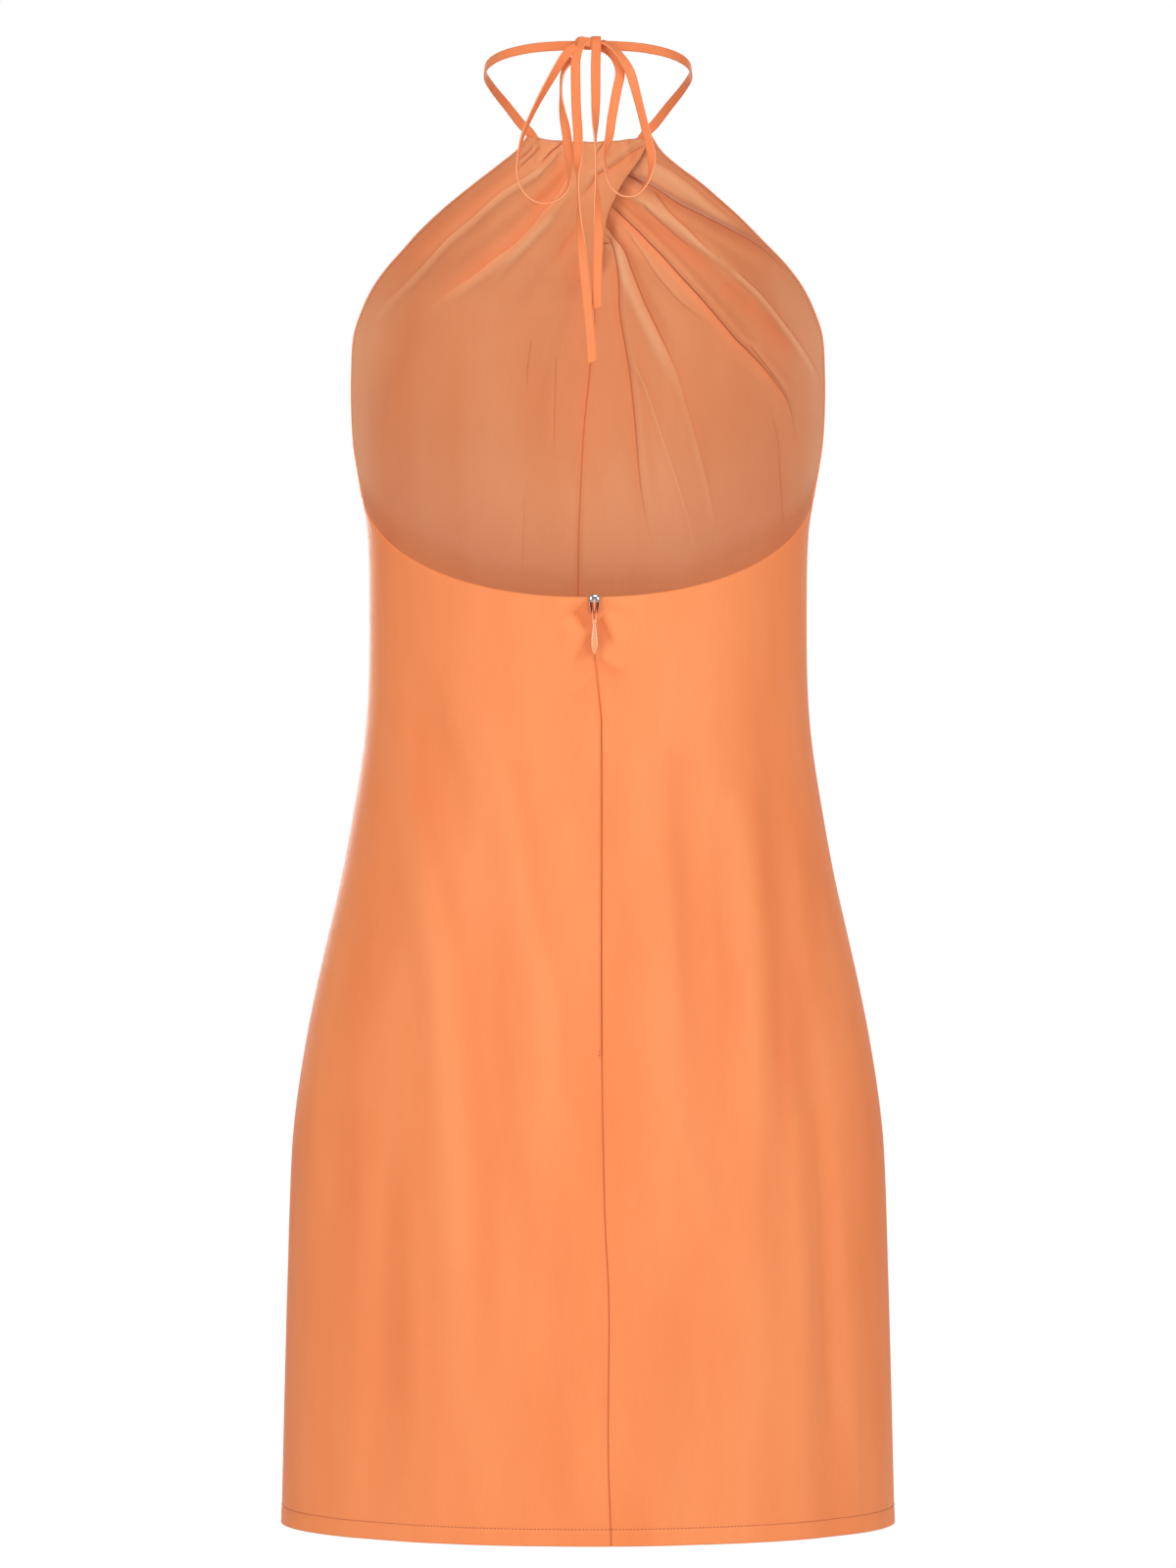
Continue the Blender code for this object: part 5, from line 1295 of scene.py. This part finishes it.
def noise(tree, scale, detail, place=None):
    """Noise in the object's space, or at a place."""
    place = place or new_node(tree, "TexCoord").outputs["Object"]
    inputs = ("Scale", scale), ("Detail", detail), ("Vector", place)
    return new_node(tree, "TexNoise", inputs).outputs["Fac"]


def relief(tree, height, strength, distance, onto):
    """Bump from a height, onto a shader or under another bump."""
    inputs = ("Strength", strength), ("Distance", distance), ("Height", height)
    bump = new_node(tree, "Bump", inputs)
    fill(onto, (("Normal", bump.outputs["Normal"]),))
    return bump


def held(tree, value, most, gain=None):
    """The value, times a gain if it has one, but never under 0 or over the most."""
    value = math_node(tree, "MAXIMUM", value, 0.0)
    return math_node(tree, "MINIMUM", times(tree, value, gain) if gain else value, most)


def crease_lines(tree):
    """How dark the seam lines are, and how much painted shade and painted highlight the
    crease lines have, at each place.
    """
    names = ("line_distance", "line_dark", "line_pale")
    split = [separated(tree, attribute(tree, name, "Vector")) for name in names]
    seam = bell(tree, attribute(tree, "seam_distance"), 0.0, SEAM_LINE)
    dark = times(tree, seam, attribute(tree, "seam_dark"))
    pale = None
    for axis in "XYZ":
        distance, line_dark, line_pale = (part[axis] for part in split)
        line = times(tree, bell(tree, distance, 0.0, CREASE_LINE), line_dark)
        dark = math_node(tree, "MAXIMUM", dark, line)
        ridge = times(tree, bell(tree, distance, RIDGE_AWAY, RIDGE_LINE), line_pale)
        pale = math_node(tree, "MAXIMUM", pale, ridge) if pale else ridge
    return dark, pale


def woven_material(name, weave, colours):
    """Plain-woven cloth: threads, slubs and soft painted light and shade in long random clouds,
    and creases if it has them, whose hollows get red painted shade, whose crests get a pale
    painted highlight and whose lines are dark: painted shade along the creases and the
    seams' own dark line."""
    material, shader = new_material(name, colours.base, weave.roughness, sheen=weave.sheen)
    tree = material.node_tree
    flat = new_node(tree, "UVMap", uv_map="flat").outputs["UV"]
    parts = separated(tree, flat)
    turns = 2 * math.pi / weave.thread
    warp, weft = (math_node(tree, "SINE", times(tree, parts[axis], turns)) for axis in "XY")
    slub = noise(tree, 1.0, 3.0, stretched(tree, flat, SLUB_SCALE))
    place = new_node(tree, "TexCoord").outputs["Object"]
    cloud = noise(tree, 1.0, 3.0, stretched(tree, place, CLOUD_SCALE, CLOUD_TURN))
    height = math_node(tree, "ADD", times(tree, warp, weft), times(tree, slub, SLUB_DEPTH))
    woven = relief(tree, height, weave.bump, THREAD_HEIGHT, shader)

    lighter = tuple(min(c * up, 1.0) for c, up in zip(colours.base, LIGHTER))
    duller = tuple(c * down for c, down in zip(colours.base, DULLER))
    # Slubs mottle the colour, and long clouds paint soft light and shade on it
    mottle, clouds = times(tree, slub, MOTTLE_SHARE), times(tree, cloud, CLOUD_SHARE)
    colour = mixed(tree, duller, lighter, math_node(tree, "ADD", mottle, clouds))
    # Painted shading: red painted shade in hollows, pale painted highlights on crests, the crease
    # lines' painted highlight and painted shade, and the seams' own dark line
    if weave.creased:
        tone = attribute(tree, "tone")
        if weave.inside:
            tone = math_node(tree, "ADD", tone, attribute(tree, "shade"))
        dark, pale = crease_lines(tree)
        for other, share in (
            (colours.hollow, held(tree, tone, 1.0)),
            (colours.crest, held(tree, times(tree, tone, -1.0), 1.0)),
            (colours.crest, pale),
            (colours.line, dark),
        ):
            colour = mixed(tree, colour, other, share)
        relief(tree, math_node(tree, "SUBTRACT", pale, dark), 0.5, LINE_HEIGHT, woven)
    elif colours.hollow:
        # Painted shade along a strap's edges, then a painted highlight at the very edge
        aside = math_node(tree, "ABSOLUTE", parts["X"])
        edges = (colours.hollow, *EDGE_SHADE), (colours.crest, *EDGE_LIGHT)
        for other, start, gain, most in edges:
            past = math_node(tree, "SUBTRACT", aside, start * STRAP_WIDTH)
            colour = mixed(tree, colour, other, held(tree, past, most, gain))
    fill(shader, (("Specular IOR Level", CLOTH_SHINE), ("Base Color", colour)))
    return material


def glossy_material(name, colour, roughness, metallic, coat):
    """Metal or enamel with faint polishing marks."""
    material, shader = new_material(name, colour, roughness, metallic)
    tree = material.node_tree
    marks = noise(tree, 900.0, 4.0)
    dulled = math_node(tree, "ADD", times(tree, marks, 0.10), roughness - 0.05)
    inputs = ("Coat Weight", coat), ("Coat Roughness", 0.08), ("Roughness", dulled)
    fill(shader, inputs)
    relief(tree, marks, 0.08, 0.00004, shader)
    return material


def thread_material(name, colour):
    """Twisted sewing thread."""
    material, shader = new_material(name, colour, 0.6, sheen=0.2)
    tree = material.node_tree
    shaded = mixed(tree, tuple(c * 0.8 for c in colour), colour, noise(tree, 1400.0, 2.0))
    fill(shader, (("Base Color", shaded),))
    return material


def set_up_camera():
    data = bpy.data.cameras.new("photo_camera")
    data.lens = CAMERA_LENS
    data.sensor_width = SENSOR_LONG_SIDE
    data.clip_end = 40.0
    turn = (math.pi / 2, 0.0, math.pi)
    bpy.context.scene.camera = placed("photo_camera", data, CAMERA_PLACE, turn)


def area_light(lamp):
    data = bpy.data.lights.new(lamp.name, "AREA")
    data.shape = "DISK"
    data.size = lamp.size
    data.energy = lamp.power
    aim = Vector(LIT_MIDDLE) - Vector(lamp.place)
    light = placed(lamp.name, data, lamp.place, aim.to_track_quat("-Z", "Y").to_euler())
    light.visible_camera = False


def set_up_studio():
    """White surroundings that light the dress gently, a pale floor, and large soft lamps."""
    bpy.context.scene.view_settings.view_transform = "Standard"
    world = bpy.data.worlds.new("studio")
    world.use_nodes = True
    tree = world.node_tree
    dome = new_node(tree, "Background")
    fill(dome, (("Color", (1.0, 0.99, 0.98, 1.0)), ("Strength", DOME_STRENGTH)))
    white = tree.nodes["Background"]
    fill(white, (("Color", (1.0, 1.0, 1.0, 1.0)), ("Strength", 1.0)))
    seen = new_node(tree, "LightPath").outputs["Is Camera Ray"]
    inputs = (0, seen), (1, dome.outputs[0]), (2, white.outputs[0])
    either = new_node(tree, "MixShader", inputs)
    fill(tree.nodes["World Output"], (("Surface", either.outputs[0]),))
    bpy.context.scene.world = world
    for lamp in LAMPS:
        area_light(lamp)

    disc = bmesh.new()
    bmesh.ops.create_circle(disc, cap_ends=True, segments=96, radius=FLOOR_RADIUS)
    material, _ = new_material("floor", (0.86, 0.86, 0.85), 0.9)
    floor = new_object("floor", mesh_of(disc, "floor"), material)
    floor.location = (0.0, 0.0, FLOOR_HEIGHT)


def settle(piece, node=None, body="dress"):
    """Says which body a piece rides on and which node it replaces."""
    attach(piece, body)
    if node:
        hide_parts(node)


def sewn_row(name, line, out, raise_by, *sewing):
    """A row of stitches along a line of cloth, raised out of it."""
    piece = stitches_along(name, line + out * raise_by, out, *sewing)
    settle(piece)


set_up_camera()
set_up_studio()

# Colours: the cloth's own, red painted shade for hollows, a pale painted highlight for crests,
# and the dark of lines, painted shade along creases and the seams' own dark
CLOTH = woven_material(
    "dress_cloth",
    Weave(0.00055, 0.35, 0.50, 0.03, True),
    Colours((0.790, 0.226, 0.074), (0.66, 0.15, 0.042), (0.84, 0.28, 0.105), (0.42, 0.07, 0.022)),
)
# The reverse is a duller copy of the cloth's colour: partly its matte back, partly painted shade
# of the inside of the dress
REVERSE = woven_material(
    "dress_cloth_reverse",
    Weave(0.00055, 0.45, 0.75, 0.60, True, True),
    Colours((0.68, 0.262, 0.116), (0.76, 0.224, 0.088), (0.74, 0.38, 0.205), (0.38, 0.07, 0.024)),
)
# The strap's colours: its own, red painted shade at its edges and a pale painted highlight at the
# very edge
STRAP = woven_material(
    "strap_cloth",
    Weave(0.00050, 0.30, 0.70, 0.04, False),
    Colours((0.77, 0.215, 0.074), (0.50, 0.095, 0.030), (0.90, 0.37, 0.18)),
)
TAPE = woven_material(
    "zip_tape", Weave(0.00080, 0.80, 0.75, 0.10, False), Colours((0.74, 0.22, 0.085))
)
THREAD = thread_material("sewing_thread", (0.48, 0.12, 0.045))
METAL = glossy_material("zip_metal", (0.50, 0.49, 0.49), 0.12, 1.0, 0.0)
ENAMEL = glossy_material("pull_enamel", (0.78, 0.29, 0.13), 0.28, 0.0, 0.6)
# A dark red-brown enamel for the slider's plate: painted shade of the hollow between its rails
RECESS_SHADE = glossy_material("slider_recess_shade", (0.20, 0.030, 0.012), 0.80, 0.0, 0.0)
COIL = glossy_material("zip_coil", (0.72, 0.22, 0.09), 0.45, 0.0, 0.1)

# Bow, straps and knot: the tails' last ends are free, and a loop's go into the knot
for name, route, far_end, slant in (
    ("bow_loop_left", LEFT_LOOP, "object", 0.0),
    ("bow_loop_right", RIGHT_LOOP, "object", 0.0),
    ("tie_tail_left", LEFT_TAIL, "bare", 0.0012),
    ("tie_tail_right", RIGHT_TAIL, "bare", 0.0016),
):
    piece, centres = strap_piece(f"{name}_strap", route, slant=slant)
    settle(piece, name)

for name, mirror_x in (("neck_strap_left", False), ("neck_strap_right", True)):
    piece, _ = strap_piece(f"{name}_strap", NECK_STRAP, mirror_x)
    settle(piece, name)

for piece in (strap_piece("knot_wrap", KNOT_WRAP)[0], knot_core()):
    settle(piece, "knot")

# Zip slider, fixed at the top of the seam, and its pull, which turns on the slider's bridge
rails = [lofted(f"rail_{m}", SLIDER_RAIL, ENAMEL, mirror=bool(m)) for m in (0, 1)]
for piece in (
    lofted("slider_nose", SLIDER_NOSE, METAL),
    # The plate between the rails is dark with painted shade
    lofted("slider_plate", SLIDER_PLATE, RECESS_SHADE),
    lofted("slider_bridge", SLIDER_BRIDGE, ENAMEL),
    joined("slider_rails", rails),
):
    settle(piece, "zip_slider")

arms = [lofted(f"arm_{m}", PULL_ARM, ENAMEL, mirror=bool(m), squareness=1.0) for m in (0, 1)]
for piece in (
    joined("pull_arms", arms + [pull_bar()]),
    lofted("pull_collar", PULL_COLLAR, ENAMEL),
    lofted("pull_tab", PULL_TAB, ENAMEL, squareness=1.0, around=28),
):
    settle(piece, "zip_pull", "pull")

# Cloth panels
PANELS = {
    "front_left": (front_cloth(1, "L"), False),
    "front_right": (front_cloth(-1, "R"), True),
    "back_left": (back_cloth(1, "l"), True),
    "back_right": (back_cloth(-1, "r"), False),
}
for name, (cloth, turned) in PANELS.items():
    piece = cloth_piece(f"{name}_cloth", cloth, turned)
    settle(piece, name)


# Hem stitches, a row on each panel
for name, (cloth, turned) in PANELS.items():
    row = int(np.argmin(np.abs(cloth.flat[:, 0, 1] - HEM_HEIGHT - HEM_DEPTH)))
    out = face_out(cloth, turned)[row]
    name = f"hem_stitches_{name}"
    sewn_row(name, cloth.points[row], out, SHELL_THICKNESS / 2, HEM_STITCH_PITCH, 0.62)

# Fine stitches inside the armholes, which hold the turned edges
for name in ("front_left", "front_right"):
    cloth, turned = PANELS[name]
    edge = cloth.points[:, -1]
    inset = np.linalg.norm(cloth.points - edge[:, None], axis=-1)
    columns = np.argmin(np.abs(inset - ARMHOLE_STITCH_INSET), axis=1)
    rows = np.flatnonzero(cloth.flat[:, 0, 1] > UNDERARM_HEIGHT + 0.004)
    out = -face_out(cloth, turned)[rows, columns[rows]]
    sewn_row(
        f"armhole_stitches_{name}", cloth.points[rows, columns[rows]], out,
        SHELL_THICKNESS / 2, ARMHOLE_STITCH_PITCH, 0.45, ARMHOLE_STITCH_RADIUS,
    )

# Zip tapes and coils inside the centre-back seam, closed up to the slider
for side in ("left", "right"):
    cloth, turned = PANELS[f"back_{side}"]
    strip = strip_inside(cloth, turned)
    for piece in (
        tape_piece(f"tape_{side}", strip, turned),
        coil_piece(f"coil_{side}", strip, turned),
    ):
        settle(piece, f"zip_tape_{side}")

# Stitches that close the zip's foot, over the centre-back seam
cloth, turned = PANELS["back_left"]
above_foot = cloth.flat[:, 0, 1] - ZIP_END_HEIGHT
rows = np.flatnonzero((above_foot < FOOT_STITCH_TOP) & (above_foot > FOOT_STITCH_START))
out = face_out(cloth, turned)[rows, 6]
sewn_row(
    "zip_foot_stitches", cloth.points[rows, 2], out,
    SHELL_THICKNESS / 2 + 0.0002, HEM_STITCH_PITCH, 0.6, FOOT_STITCH_RADIUS,
)
